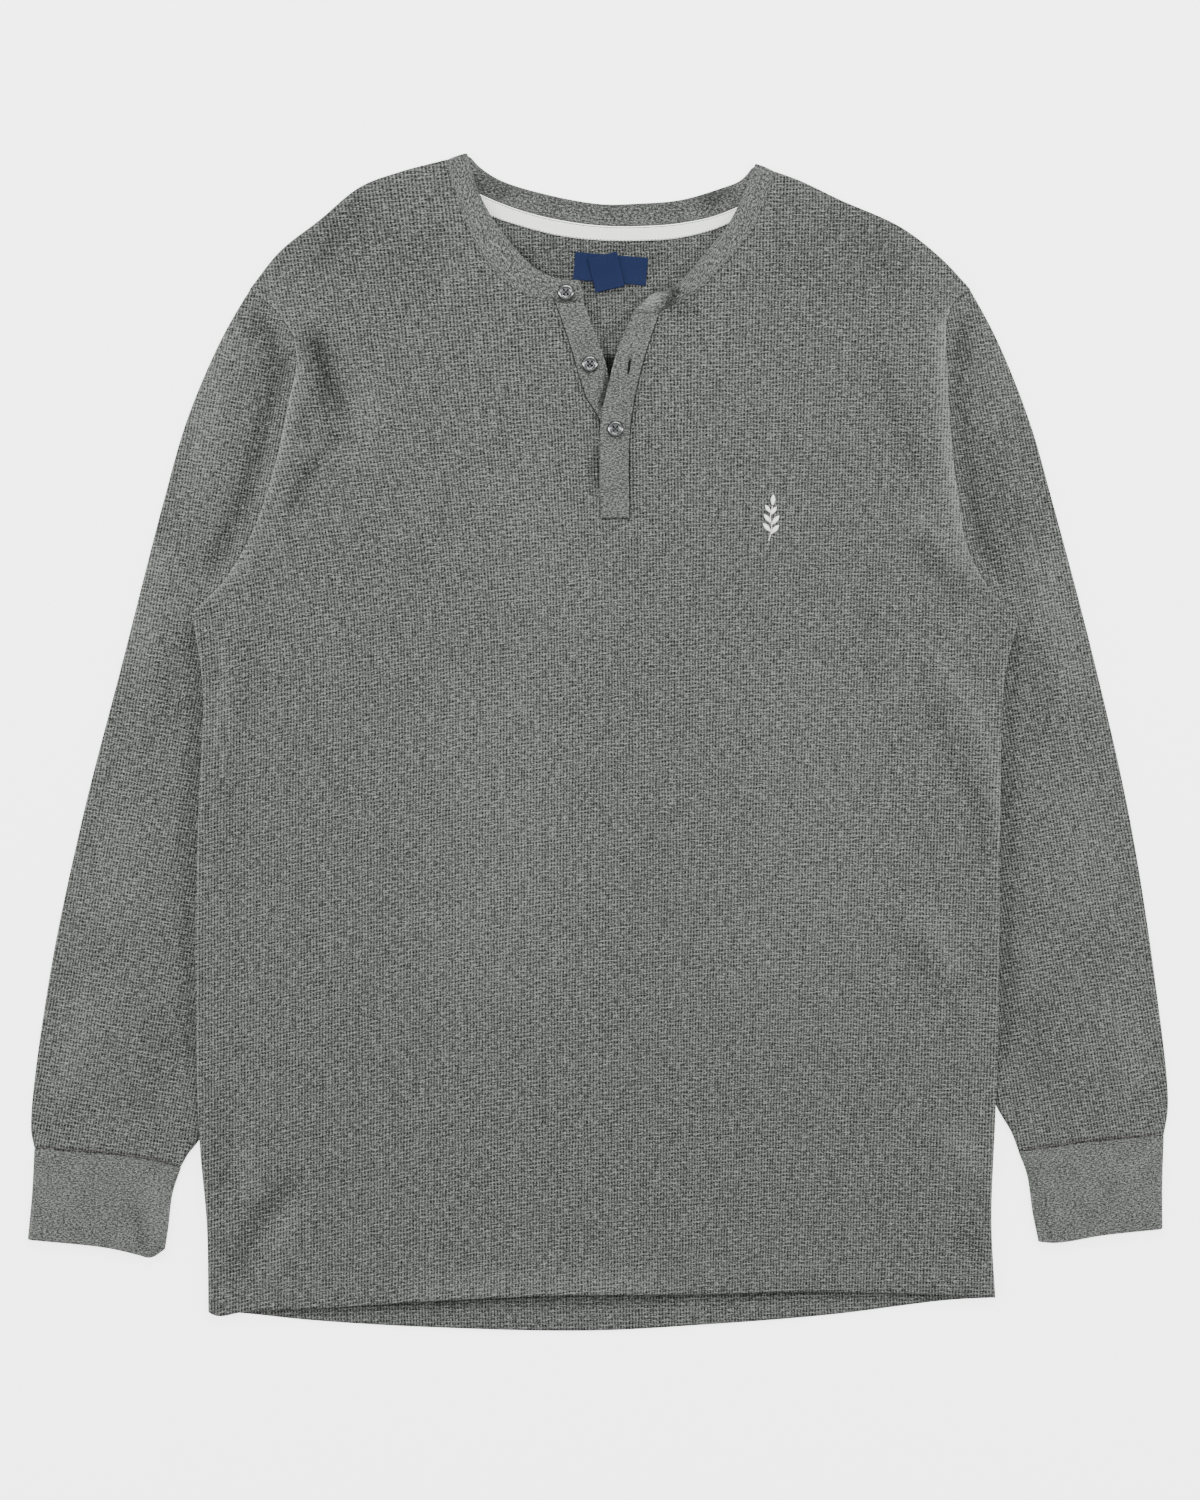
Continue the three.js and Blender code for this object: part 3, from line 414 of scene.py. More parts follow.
# The under placket is in shade where the over one stands off it.
PLACKET_SHADE = (Fold(((9, 264), (6.5, 252), (3.5, 240), (1, 230)), -9, 2.6, 0.3),)
# Folds of the sleeves; each also gives painted light and shade, and the last trough of each side gives
# painted shade along the body's edge.
SLEEVE_FOLDS: dict[Side, tuple[Fold, ...]] = {
    Side.LEFT: (
        Fold(((-260, 302), (-266, 262), (-272, 220), (-286, 150)), 2.4, 12),
        Fold(((-246, 304), (-227, 266), (-234, 215), (-252, 156), (-276, 108)), -4.0, 7, 0.12),
        Fold(((-222, 276), (-217, 254), (-222, 232)), -3.0, 5),
        Fold(((-300, 150), (-312, 92), (-326, 30)), 2.0, 13),
        Fold(((-292, 84), (-298, 40), (-300, -10)), -1.6, 10),
        Fold(((-322, -40), (-334, -96), (-340, -150)), 1.5, 18),
        Fold(((-344, -160), (-362, -215), (-378, -262)), 1.6, 14),
        Fold(((-300, -180), (-306, -225), (-312, -268)), -1.4, 12),
        Fold(tuple((x, y + 4.2) for x, y in EDGE["cuff_seam"][Side.LEFT]), 1.6, 2.0, 0.02),
        Fold(((-284, 88), (-281, 20), (-287, -110), (-286, -180), (-284, -240)), -2.4, 6, 0.1),
    ),
    Side.RIGHT: (
        Fold(((280, 290), (286, 215), (300, 140)), 1.2, 12),
        Fold(((256, 306), (251, 250), (258, 190), (268, 140), (286, 104)), -3.6, 6, 0.12),
        Fold(((306, 150), (322, 80), (336, 20)), 2.0, 14),
        Fold(((302, 80), (306, 30), (310, -20)), -1.4, 10),
        Fold(((328, -20), (340, -80), (346, -140)), 1.5, 18),
        Fold(((350, -165), (368, -215), (382, -256)), 1.6, 13),
        Fold(((304, -170), (310, -215), (318, -262)), -1.4, 12),
        Fold(tuple((x, y + 4.2) for x, y in EDGE["cuff_seam"][Side.RIGHT]), 1.6, 2.0, 0.02),
        Fold(((294, 84), (289, 40), (287, -69), (286, -181), (284, -232)), -2.4, 6, 0.1),
    ),
}
# The right sleeve lies in shade beside its armhole.
SLEEVE_SHADE: dict[Side, tuple[Fold, ...]] = {
    Side.LEFT: (),
    Side.RIGHT: (Fold(((292, 235), (286, 180), (294, 120)), -2.0, 20),),
}
CUFF_FOLDS: dict[Side, tuple[Fold, ...]] = {
    Side.LEFT: (
        Fold(((-312, -300), (-310, -330), (-307, -354)), 1.3, 6),
        Fold(((-324, -322), (-321, -342), (-316, -360)), -1.8, 2.5),
        Fold(((-372, -296), (-374, -344)), 0.6, 12),
    ),
    Side.RIGHT: (
        Fold(((304, -296), (310, -322), (316.4, -350)), -1.0, 2.6, 0.05),
        Fold(((312, -292), (318, -322), (324, -346)), 0.8, 6),
        Fold(((372, -288), (370, -336)), 0.6, 12),
    ),
}


@dataclass(frozen=True)
class HiddenFold:
    """Inner fold of a sleeve, which runs unseen behind the body."""

    side: Side
    top_x: float
    lean: float
    bow_y: float
    bend: float
    top_y: float = 270.0

    def x(self, y: Array) -> Array:
        """X of the fold at each Y."""
        bow = self.bend * np.maximum(0.0, self.bow_y - y) ** 2
        return self.side.sign * (self.top_x + self.lean * (self.top_y - y) + bow)


HIDDEN_FOLDS = {
    Side.LEFT: HiddenFold(Side.LEFT, 211, 0.035, -95, 0.00144),
    Side.RIGHT: HiddenFold(Side.RIGHT, 243.8, 0.0, -94, 0.00134),
}


class NearestLine:
    """Finds the nearest point of some lines."""

    def __init__(self, *lines: Array) -> None:
        """Takes lines with close points."""
        self.points = np.vstack(lines)
        self.tree = KDTree(len(self.points))
        for index, (x, y) in enumerate(self.points):
            self.tree.insert((x, y, 0.0), index)
        self.tree.balance()

    def find(self, points: Array) -> tuple[Array, Array]:
        """Index of the nearest line point for each point, and the distance to it."""
        found = [self.tree.find((x, y, 0.0)) for x, y in points]
        return np.array([item[1] for item in found]), np.array([item[2] for item in found])


FINE = np.linspace(0.0, 1.0, 500)


@dataclass(frozen=True)
class BodyForm:
    """Heights of the body's layers: the back on the surface and the sleeves, the front on the back."""

    sleeve_clearance: float = 2 * SLEEVE_WALL + LAYER_GAP + 0.7
    ramp_end: float = 20.0
    ramp_start: float = 140.0
    shoulder_ramp: tuple[float, float] = (275.0, 400.0)
    neck_centre: Point = (8.0, 385.0)
    neck_radius: Point = (115.0, 80.0)
    neck_lift: float = 1.0
    neck_lift_end: float = 1.5
    loft: float = 2.0
    v_lift: float = 2.6
    v_foot: Point = (9.0, 262.0)
    v_reach: Point = (34.0, 56.0)
    least_air: float = 0.15
    hem_lift: float = 0.4
    seams: NearestLine = NearestLine(
        *(curve_at(EDGE[name][side], FINE) for name in ("side", "shoulder") for side in Side)
    )

    def back_under(self, points: Array) -> Array:
        """Underside of the back, flat on the surface and raised on the hidden part of each sleeve."""
        lift = np.zeros(len(points))
        for side, fold in HIDDEN_FOLDS.items():
            outside = side.sign * (fold.x(points[:, 1]) - points[:, 0])
            lift = np.maximum(lift, 1.0 - smooth_step(outside, self.ramp_end, self.ramp_start))
        shoulder = 1.0 - smooth_step(points[:, 1], *self.shoulder_ramp)
        return self.sleeve_clearance * lift * shoulder

    def back_top(self, points: Array) -> Array:
        """Upper face of the back."""
        return self.back_under(points) + BODY_WALL

    def near_neck(self, points: Array) -> Array:
        """Height that the front gains towards the neck seam."""
        offset = (points - np.array(self.neck_centre)) / np.array(self.neck_radius)
        away = np.linalg.norm(offset, axis=1)
        return self.neck_lift * (1.0 - smooth_step(away, 1.0, self.neck_lift_end))

    def near_v(self, points: Array) -> Array:
        """Height that both fronts gain beside the foot of the open V."""
        offset = (points - np.array(self.v_foot)) / np.array(self.v_reach)
        return self.v_lift * np.exp(-(offset**2).sum(axis=1))

    def air(self, points: Array) -> Array:
        """Air between back and front, which closes at the side and shoulder seams."""
        _, distance = self.seams.find(points)
        closed = smooth_step(distance, 0.0, 9.0)
        hem = self.hem_lift * (1.0 - smooth_step(points[:, 1], -392.0, -340.0))
        seam = self.least_air + (LAYER_GAP - self.least_air) * closed
        return seam + (self.loft + hem) * smooth_step(distance, 2.0, 60.0)

    def front_under(self, points: Array) -> Array:
        """Underside of the front."""
        _, distance = self.seams.find(points)
        folds = fold_rise(FRONT_FOLDS, points)
        folds = np.where(folds > 0, folds, folds * smooth_step(distance, 0.0, 12.0))
        air = self.air(points) + self.near_neck(points) + self.near_v(points) + folds
        return self.back_top(points) + np.maximum(air, self.least_air)

    def front_top(self, points: Array) -> Array:
        """Upper face of the front."""
        return self.front_under(points) + BODY_WALL


FORM = BodyForm()


def body_grain(points: Array) -> Array:
    """Cloth coordinates on the body, which follow how its rows and columns of knit are pulled.

    Args:
        points: Places on the body.

    Returns:
        Distance across and along the cloth at each place.
    """
    x, y = points[:, 0], points[:, 1]
    chest = smooth_step(y, -60.0, 260.0) * smooth_step(-x, -100.0, 300.0)
    lean = 0.17 * chest - 0.03 * smooth_step(x, 0.0, 200.0)
    climb = (0.1 * x - 0.00025 * x**2) * (1.0 - 0.6 * smooth_step(y, 0.0, 260.0))
    return np.stack([x + lean * (y - 60.0), y - climb], axis=1)


def turned_grain(degrees: float) -> Callable[[Array], Array]:
    """Cloth coordinates of a cloth whose columns lean by an angle from Y."""
    angle = math.radians(degrees)
    turn = np.array([[math.cos(angle), -math.sin(angle)], [math.sin(angle), math.cos(angle)]])
    return lambda points: points @ turn


@dataclass
class Surface:
    """Vertices in millimetres, faces and cloth coordinates of a mesh that grows."""

    vertices: Array
    faces: list[tuple[int, ...]]
    cloth: Array
    painted_fold_shading: Array | None = None

    def to_object(self, name: str, material: bpy.types.Material) -> bpy.types.Object:
        """Makes a smooth mesh object in metres with its cloth coordinates as UV map.

        Args:
            name: Name of the object.
            material: Its material.

        Returns:
            The linked object.
        """
        mesh = bpy.data.meshes.new(name)
        mesh.from_pydata((self.vertices * MM).tolist(), [], self.faces)
        layer = mesh.uv_layers.new(name="cloth")
        corners = np.empty(len(mesh.loops), dtype=np.int32)
        mesh.loops.foreach_get("vertex_index", corners)
        layer.data.foreach_set("uv", (self.cloth[corners] * MM).astype(np.float32).ravel())
        # Fold heights, which the cloth materials paint as light and shade.
        if self.painted_fold_shading is not None:
            shade = mesh.attributes.new("painted_fold_shading", "FLOAT", "POINT")
            shade.data.foreach_set("value", self.painted_fold_shading.astype(np.float32))
        mesh.materials.append(material)
        mesh.shade_smooth()
        mesh.validate()
        result = bpy.data.objects.new(name, mesh)
        bpy.context.collection.objects.link(result)
        return result


def joined(surfaces: Sequence[Surface]) -> Surface:
    """Several surfaces as one."""
    faces: list[tuple[int, ...]] = []
    offset = 0
    for surface in surfaces:
        faces += [tuple(index + offset for index in face) for face in surface.faces]
        offset += len(surface.vertices)
    vertices = np.vstack([surface.vertices for surface in surfaces])
    painted_fold_shadings = [surface.painted_fold_shading for surface in surfaces]
    painted_fold_shading = None if any(item is None for item in painted_fold_shadings) else np.concatenate(painted_fold_shadings)
    return Surface(vertices, faces, np.vstack([surface.cloth for surface in surfaces]), painted_fold_shading)


def grid_faces(rows: int, columns: int) -> Array:
    """Corners of the cells of a grid whose points are numbered row by row."""
    index = np.arange(rows * columns).reshape(rows, columns)
    return np.stack([index[:-1, :-1], index[:-1, 1:], index[1:, 1:], index[1:, :-1]], axis=-1).reshape(-1, 4)


@dataclass(frozen=True)
class Shell:
    """A sheet of cloth with a thickness and rounded edges, over patches that share their edges."""

    patches: tuple[Array, ...]
    top: Height
    wall: float
    roll: float
    grain: Callable[[Array], Array]
    thicker: Height | None = None
    # Folds that are painted into the colour as light and shade; they don't move the surface.
    folds: tuple[Fold, ...] = ()

    def build(self) -> Surface:
        """Closed surface of the cloth."""
        weld = 0.002
        starts = np.cumsum([0] + [item.shape[0] * item.shape[1] for item in self.patches[:-1]])
        flat = np.vstack([item.reshape(-1, 2) for item in self.patches])
        cells = np.vstack([
            grid_faces(*item.shape[:2]) + start for item, start in zip(self.patches, starts)
        ])
        keys = np.round(flat / weld).astype(np.int64)
        _, first, inverse = np.unique(keys, axis=0, return_index=True, return_inverse=True)
        points = flat[first]
        cells = inverse.ravel()[cells]
        edges = np.vstack([cells[:, [side, (side + 1) % 4]] for side in range(4)])
        known = set(map(tuple, edges.tolist()))
        rim = {index for a, b in edges.tolist() if (b, a) not in known for index in (a, b)}
        on_rim = np.zeros(len(points), dtype=bool)
        on_rim[list(rim)] = True
        _, distance = NearestLine(points[on_rim]).find(points)
        share = np.clip(distance / self.roll, 0.0, 1.0)
        half = self.wall / 2 * np.sqrt(1.0 - (1.0 - share) ** 2)
        upper = self.top(points)
        middle = upper - self.wall / 2
        extra = self.thicker(points) * share if self.thicker else np.zeros(len(points))
        top_vertices = np.column_stack([points, middle + half + extra])
        under_index = np.where(on_rim, np.arange(len(points)), -1)
        free = np.flatnonzero(~on_rim)
        under_index[free] = len(points) + np.arange(len(free))
        under_vertices = np.column_stack([points[free], (middle - half)[free]])
        faces = cells.tolist() + under_index[cells[:, ::-1]].tolist()
        cloth = self.grain(points)
        painted_fold_shading = np.concatenate([fold_rise(self.folds, points), np.zeros(len(free))])
        vertices = np.vstack([top_vertices, under_vertices])
        return Surface(vertices, faces, np.vstack([cloth, cloth[free]]), painted_fold_shading)


@dataclass(frozen=True)
class Tube:
    """A flattened tube of cloth over rows of points that run from its outer to its inner fold."""

    rows: Array
    wall: float
    top: Height
    round_edge: float
    grain: Callable[[Array], Array]
    lip: float = 0.0
    # Folds that are painted into the colour as light and shade; the tube's heights come from top.
    folds: tuple[Fold, ...] = ()

    def skin(self, inset: float) -> Surface:
        """One skin of the tube, moved inwards by an inset."""
        rows = self.rows
        width = np.linalg.norm(rows[:, -1] - rows[:, 0], axis=1)[:, None, None]
        middle = (rows[:, :1] + rows[:, -1:]) / 2
        plan = middle + (rows - middle) * (1.0 - 2.0 * inset / width)
        flat = plan.reshape(-1, 2)
        shape = plan.shape[:2]
        first = np.linalg.norm(plan - plan[:, :1], axis=2)
        last = np.linalg.norm(plan - plan[:, -1:], axis=2)
        share = np.clip(np.minimum(first, last) / self.round_edge, 0.0, 1.0)
        profile = np.sqrt(1.0 - (1.0 - share) ** 2)
        height = self.top(flat).reshape(shape)
        middle_z = np.minimum(height, 2 * self.wall + LAYER_GAP) / 2
        over = middle_z + (height - inset - middle_z) * profile
        under = middle_z - (middle_z - inset) * profile
        over_points = np.concatenate([plan, over[:, :, None]], axis=2)
        under_points = np.concatenate([plan, under[:, :, None]], axis=2)[:, -2:0:-1]
        ring = np.concatenate([over_points, under_points], axis=1)
        count = ring.shape[1]
        index = np.arange(ring.shape[0] * count).reshape(ring.shape[0], count)
        after = np.roll(index, -1, axis=1)
        quads = np.stack([index[:-1], after[:-1], after[1:], index[1:]], axis=-1).reshape(-1, 4)
        vertices = ring.reshape(-1, 3)
        order = quads if inset == 0.0 else quads[:, ::-1]
        plane = vertices[:, :2]
        return Surface(vertices, order.tolist(), self.grain(plane), fold_rise(self.folds, plane))

    def build(self) -> Surface:
        """Closed surface of the tube with open ends."""
        outer = self.skin(0.0)
        inner = self.skin(self.wall)
        both = joined([outer, inner])
        count = 2 * (self.rows.shape[1] - 1)
        offset = len(outer.vertices)
        for row, flip in ((0, True), (self.rows.shape[0] - 1, False)):
            a = row * count + np.arange(count)
            b = np.roll(a, -1)
            lip = (both.vertices[a] + both.vertices[a + offset]) / 2
            neighbour = a + count if row == 0 else a - count
            outward = both.vertices[a] - both.vertices[neighbour]
            outward /= np.linalg.norm(outward, axis=1)[:, None]
            c = len(both.vertices) + np.arange(count)
            d = np.roll(c, -1)
            both.vertices = np.vstack([both.vertices, lip + outward * self.lip])
            both.cloth = np.vstack([both.cloth, both.cloth[a]])
            both.painted_fold_shading = np.concatenate([both.painted_fold_shading, both.painted_fold_shading[a]])
            for first, second in (((a, b), (c, d)), ((c, d), (a + offset, b + offset))):
                quads = np.stack([first[0], first[1], second[1], second[0]], axis=1)
                both.faces += (quads[:, ::-1] if flip else quads).tolist()
        return both


def linear(code: str) -> tuple[float, float, float, float]:
    """Linear colour of an sRGB hex code."""
    parts = [int(code[index:index + 2], 16) / 255 for index in (1, 3, 5)]
    low = [part / 12.92 if part <= 0.04045 else ((part + 0.055) / 1.055) ** 2.4 for part in parts]
    return (low[0], low[1], low[2], 1.0)


Value = float | tuple[float, ...] | bpy.types.NodeSocket


class Paint:
    """A material's node tree, and short ways to add to it."""

    def __init__(self, name: str, roughness: float, specular: float = 0.5) -> None:
        """Makes a material with one surface shader."""
        self.material = bpy.data.materials.new(name)
        self.material.use_nodes = True
        self.tree = self.material.node_tree
        self.surface = self.tree.nodes["Principled BSDF"]
        self.surface.inputs["Roughness"].default_value = roughness
        self.surface.inputs["Specular IOR Level"].default_value = specular

    def add(self, kind: str, inputs: dict[str | int, Value] | None = None,
            **settings: object) -> bpy.types.Node:
        """Adds a node with its settings, and sets or links its inputs.

        Args:
            kind: Type of the node.
            inputs: A value or a socket for each input, by name or number.
            **settings: Properties of the node.

        Returns:
            The node.
        """
        node = self.tree.nodes.new(kind)
        for key, value in settings.items():
            setattr(node, key, value)
        for key, value in (inputs or {}).items():
            if isinstance(value, bpy.types.NodeSocket):
                self.tree.links.new(value, node.inputs[key])
            else:
                node.inputs[key].default_value = value
        return node

    def math(self, operation: str, first: Value, second: Value = 0.0) -> bpy.types.NodeSocket:
        """Result of a sum on one or two values."""
        return self.add("ShaderNodeMath", {0: first, 1: second}, operation=operation).outputs[0]

    def cloth(self) -> bpy.types.NodeSocket:
        """Cloth coordinates in metres."""
        return self.add("ShaderNodeUVMap", uv_map="cloth").outputs["UV"]

    def painted_fold_shading(self, strength: float) -> bpy.types.NodeSocket:
        """Painted light and shade of a fold, from its height: a painted highlight on a ridge and painted
        shade in a trough.
        """
        height = self.add("ShaderNodeAttribute", attribute_name="painted_fold_shading").outputs["Fac"]
        return self.math("MULTIPLY", height, strength)

    def scaled(self, vector: Value, factors: tuple[float, float, float]) -> bpy.types.NodeSocket:
        """A vector times factors."""
        node = self.add("ShaderNodeVectorMath", {0: vector, 1: factors}, operation="MULTIPLY")
        return node.outputs[0]

    def noise(self, vector: Value, detail: float = 2.0, roughness: float = 0.6) -> bpy.types.NodeSocket:
        """Soft noise with cells one unit wide."""
        node = self.add(
            "ShaderNodeTexNoise", {"Vector": vector, "Scale": 1.0, "Detail": detail, "Roughness": roughness},
        )
        return node.outputs["Fac"]

    def speckle(self, cloth: Value, grain: "Speckle") -> bpy.types.NodeSocket:
        """Noise of a cloth's speckle, from 0 to 1."""
        cells = self.scaled(cloth, (grain.across, grain.along, 1.0))
        return self.noise(cells, grain.detail, grain.roughness)

    def swing(self, value: Value, middle: float, weight: float) -> bpy.types.NodeSocket:
        """How far a value is from a middle, times a weight."""
        return self.math("MULTIPLY", self.math("SUBTRACT", value, middle), weight)

    def total(self, first: Value, *others: Value) -> Value:
        """Sum of several values."""
        result = first
        for other in others:
            result = self.math("ADD", result, other)
        return result

    def ramp(self, value: Value, stops: Sequence[tuple[float, str]]) -> bpy.types.NodeSocket:
        """Colour from a value by stops, each a place and a hex code."""
        node = self.add("ShaderNodeValToRGB", {"Fac": value})
        elements = node.color_ramp.elements
        while len(elements) < len(stops):
            elements.new(1.0)
        for element, (place, code) in zip(elements, stops):
            element.position = place
            element.color = linear(code)
        return node.outputs["Color"]

    def finish(self, colour: Value, height: Value | None = None, depth: float = 0.0) -> bpy.types.Material:
        """Sets colour and relief in metres, and gives the material."""
        if isinstance(colour, bpy.types.NodeSocket):
            self.tree.links.new(colour, self.surface.inputs["Base Color"])
        else:
            self.surface.inputs["Base Color"].default_value = colour
        if height is not None:
            bump = self.add("ShaderNodeBump", {"Height": height, "Distance": depth, "Strength": 1.0})
            self.tree.links.new(bump.outputs["Normal"], self.surface.inputs["Normal"])
        return self.material


@dataclass(frozen=True)
class Speckle:
    """Soft noise in a cloth: its cells in a metre across and along, and how much it changes the tone."""

    across: float
    along: float
    weight: float
    detail: float = 2.0
    roughness: float = 0.6


@dataclass(frozen=True)
class Waffle:
    """Heathered grey waffle knit: rows of small pits between lighter columns of stitches, the pits with
    painted shade.
    """

    name: str
    across: float = 2.1
    along: float = 2.8
    dark: str = "#151615"
    middle: str = "#424442"
    light: str = "#7d7f7c"
    streak: Speckle = Speckle(200.0, 1100.0, 1.35)
    fibre: Speckle = Speckle(850.0, 1400.0, 1.6, 1.0, 0.7)
    fleck: Speckle = Speckle(280.0, 1250.0, 2.6, 1.0, 0.5)
    fleck_start: float = 0.56
    cloud: Speckle = Speckle(45.0, 60.0, 0.12)
    pit_middle: float = 0.26
    pit_shade_weight: float = 0.62
    fold_shading_weight: float = 0.035
    relief: float = 0.0005

    def paint(self) -> bpy.types.Material:
        """The material, with cells of their real size, which just shows at arm's length."""
        paint = Paint(self.name, 0.95, 0.06)
        cloth = paint.cloth()
        warp = paint.noise(paint.scaled(cloth, (70.0, 50.0, 1.0)), 1.0)
        shift = paint.math("MULTIPLY", paint.math("SUBTRACT", warp, 0.5), 0.7)
        cells = paint.scaled(cloth, (1000 / self.across, 1000 / self.along, 0.0))
        moved = paint.add("ShaderNodeVectorMath", {0: cells, 1: shift}, operation="ADD").outputs[0]
        axes = paint.add("ShaderNodeSeparateXYZ", {0: moved})
        turns = [paint.math("MULTIPLY", axes.outputs[axis], math.tau) for axis in ("X", "Y")]
        waves = [paint.math("COSINE", turn) for turn in turns]
        halves = [paint.math("MULTIPLY_ADD", wave, -0.5) for wave in waves]
        for half in halves:
            half.node.inputs[2].default_value = 0.5
        rows = paint.math("ADD", paint.math("MULTIPLY", halves[1], 0.75), 0.25)
        pit = paint.math("MULTIPLY", halves[0], rows)
        corner = paint.add("ShaderNodeVectorMath", {0: moved}, operation="FLOOR").outputs[0]
        noise = paint.add("ShaderNodeTexWhiteNoise", {"Vector": corner}, noise_dimensions="2D")
        chance = noise.outputs["Value"]
        depth = paint.math("MULTIPLY", pit, paint.math("ADD", paint.math("MULTIPLY", chance, 0.5), 0.65))
        # Light and dark fibres lie in streaks along the rows.
        streak, fibre, fleck, cloud = (
            paint.speckle(cloth, item) for item in (self.streak, self.fibre, self.fleck, self.cloud)
        )
        bright = paint.math("MAXIMUM", paint.math("SUBTRACT", fleck, self.fleck_start), 0.0)
        # Painted shade darkens the pits, and the fold heights add painted light and shade.
        tone = paint.total(
            paint.swing(streak, 0.5, self.streak.weight), paint.swing(fibre, 0.5, self.fibre.weight),
            paint.math("MULTIPLY", bright, self.fleck.weight), paint.swing(cloud, 0.5, self.cloud.weight),
            paint.swing(depth, self.pit_middle, -self.pit_shade_weight), paint.painted_fold_shading(self.fold_shading_weight),
        )
        colour = paint.ramp(
            paint.math("ADD", tone, 0.5), [(0.0, self.dark), (0.5, self.middle), (1.0, self.light)],
        )
        height = paint.math("SUBTRACT", paint.math("MULTIPLY", fibre, 0.25), depth)
        return paint.finish(colour, height, self.relief)


@dataclass(frozen=True)
class Interlock:
    """Smooth heathered knit of neckband, plackets and cuffs: fine short streaks and no cells."""

    name: str
    dark: str = "#232423"
    middle: str = "#4c4e4c"
    light: str = "#7b7d7a"
    fibre: Speckle = Speckle(540.0, 1050.0, 3.0, 2.0, 0.7)
    speck: Speckle = Speckle(1500.0, 1500.0, 1.9, 1.0)
    cloud: Speckle = Speckle(70.0, 70.0, 0.3)
    fold_shading_weight: float = 0.06
    relief: float = 0.00025

    def paint(self) -> bpy.types.Material:
        """The material. Its streaks are drawn coarser than the yarn, which would not show."""
        paint = Paint(self.name, 0.95, 0.06)
        cloth = paint.cloth()
        fibre, speck, cloud = (paint.speckle(cloth, item) for item in (self.fibre, self.speck, self.cloud))
        # The fold heights add painted light and shade.
        tone = paint.total(
            paint.swing(fibre, 0.5, self.fibre.weight), paint.swing(speck, 0.5, self.speck.weight),
            paint.swing(cloud, 0.5, self.cloud.weight), paint.painted_fold_shading(self.fold_shading_weight),
        )
        colour = paint.ramp(
            paint.math("ADD", tone, 0.5), [(0.0, self.dark), (0.5, self.middle), (1.0, self.light)],
        )
        return paint.finish(colour, fibre, self.relief)


def twill_tape() -> bpy.types.Material:
    """White cotton tape with fine ribs across it, drawn at 1.5 mm so that they show."""
    paint = Paint("white_twill_tape", 0.85, 0.4)
    axes = paint.add("ShaderNodeSeparateXYZ", {0: paint.cloth()})
    wave = paint.math("SINE", paint.math("MULTIPLY", axes.outputs["X"], math.tau / 0.0015))
    share = paint.math("ADD", paint.math("MULTIPLY", wave, 0.5), 0.5)
    colour = paint.ramp(share, [(0.0, "#efefec"), (1.0, "#fefefc")])
    return paint.finish(colour, share, 0.0002)


def woven_label(name: str, deep: str, bright: str) -> bpy.types.Material:
    """Navy damask label with a faint weave and a soft sheen."""
    paint = Paint(name, 0.6, 0.12)
    thread = paint.noise(paint.scaled(paint.cloth(), (700.0, 2400.0, 1.0)), 2.0)
    return paint.finish(paint.ramp(thread, [(0.3, deep), (0.7, bright)]), thread, 0.0001)


def smoke_button() -> bpy.types.Material:
    """Grey pearly resin with a bright gloss and faint clouds."""
    paint = Paint("smoke_resin", 0.18, 1.0)
    place = paint.add("ShaderNodeTexCoord").outputs["Object"]
    cloud = paint.noise(paint.scaled(place, (260.0, 180.0, 260.0)), 3.0)
    paint.surface.inputs["IOR"].default_value = 1.7
    paint.surface.inputs["Coat Weight"].default_value = 0.6
    paint.surface.inputs["Coat Roughness"].default_value = 0.04
    reach = paint.add("ShaderNodeAttribute", attribute_name="reach").outputs["Fac"]
    # Painted shade: a dark ring at the outer edge and a darker ring at the foot of the rim.
    shade = paint.ramp(reach, [
        (0.0, "#ffffff"), (0.55, "#ffffff"), (0.6, "#505050"), (0.64, "#505050"), (0.68, "#ffffff"),
        (0.82, "#f0f0f0"), (0.88, "#141414"), (1.0, "#0c0c0c"),
    ])
    resin = paint.ramp(cloud, [(0.3, "#2c2f30"), (0.7, "#4b4f50")])
    colour = paint.add("ShaderNodeVectorMath", {0: resin, 1: shade}, operation="MULTIPLY")
    return paint.finish(colour.outputs[0])


def spun_thread(name: str, code: str) -> bpy.types.Material:
    """Spun polyester thread, which is dull and has faint bands from its twist."""
    paint = Paint(name, 0.8, 0.06)
    place = paint.add("ShaderNodeTexCoord").outputs["Object"]
    twist = paint.noise(paint.scaled(place, (1500.0, 1500.0, 1500.0)), 1.0)
    share = paint.math("ADD", paint.math("MULTIPLY", twist, 0.5), 0.75)
    mix = paint.add("ShaderNodeVectorMath", {0: linear(code)[:3], "Scale": share}, operation="SCALE")
    return paint.finish(mix.outputs[0])


@dataclass(frozen=True)
class Materials:
    """All the materials of the top."""

    waffle: bpy.types.Material
    sleeve: bpy.types.Material
    trim: bpy.types.Material
    tape: bpy.types.Material
    label: bpy.types.Material
    tab: bpy.types.Material
    button: bpy.types.Material
    seam_thread: bpy.types.Material
    topstitch: bpy.types.Material
    dark_thread: bpy.types.Material
    brown_thread: bpy.types.Material
    white_thread: bpy.types.Material

    @classmethod
    def make(cls) -> "Materials":
        """Paints them."""
        return cls(
            waffle=Waffle("grey_waffle_knit").paint(),
            sleeve=Waffle("grey_waffle_knit_sleeve").paint(),
            trim=Interlock("grey_interlock").paint(),
            tape=twill_tape(),
            label=woven_label("navy_label", "#0b142f", "#142143"),
            tab=woven_label("navy_tab", "#0b142d", "#131f42"),
            button=smoke_button(),
            seam_thread=spun_thread("grey_seam_thread", "#626462"),
            topstitch=spun_thread("charcoal_topstitch_thread", "#262726"),
            # Painted shade for the buttonhole's opening.
            dark_thread=spun_thread("dark_thread", "#141515"),
            brown_thread=spun_thread("brown_tape_thread", "#4a3a3b"),
            white_thread=spun_thread("white_embroidery_thread", "#f2f2ee"),
        )


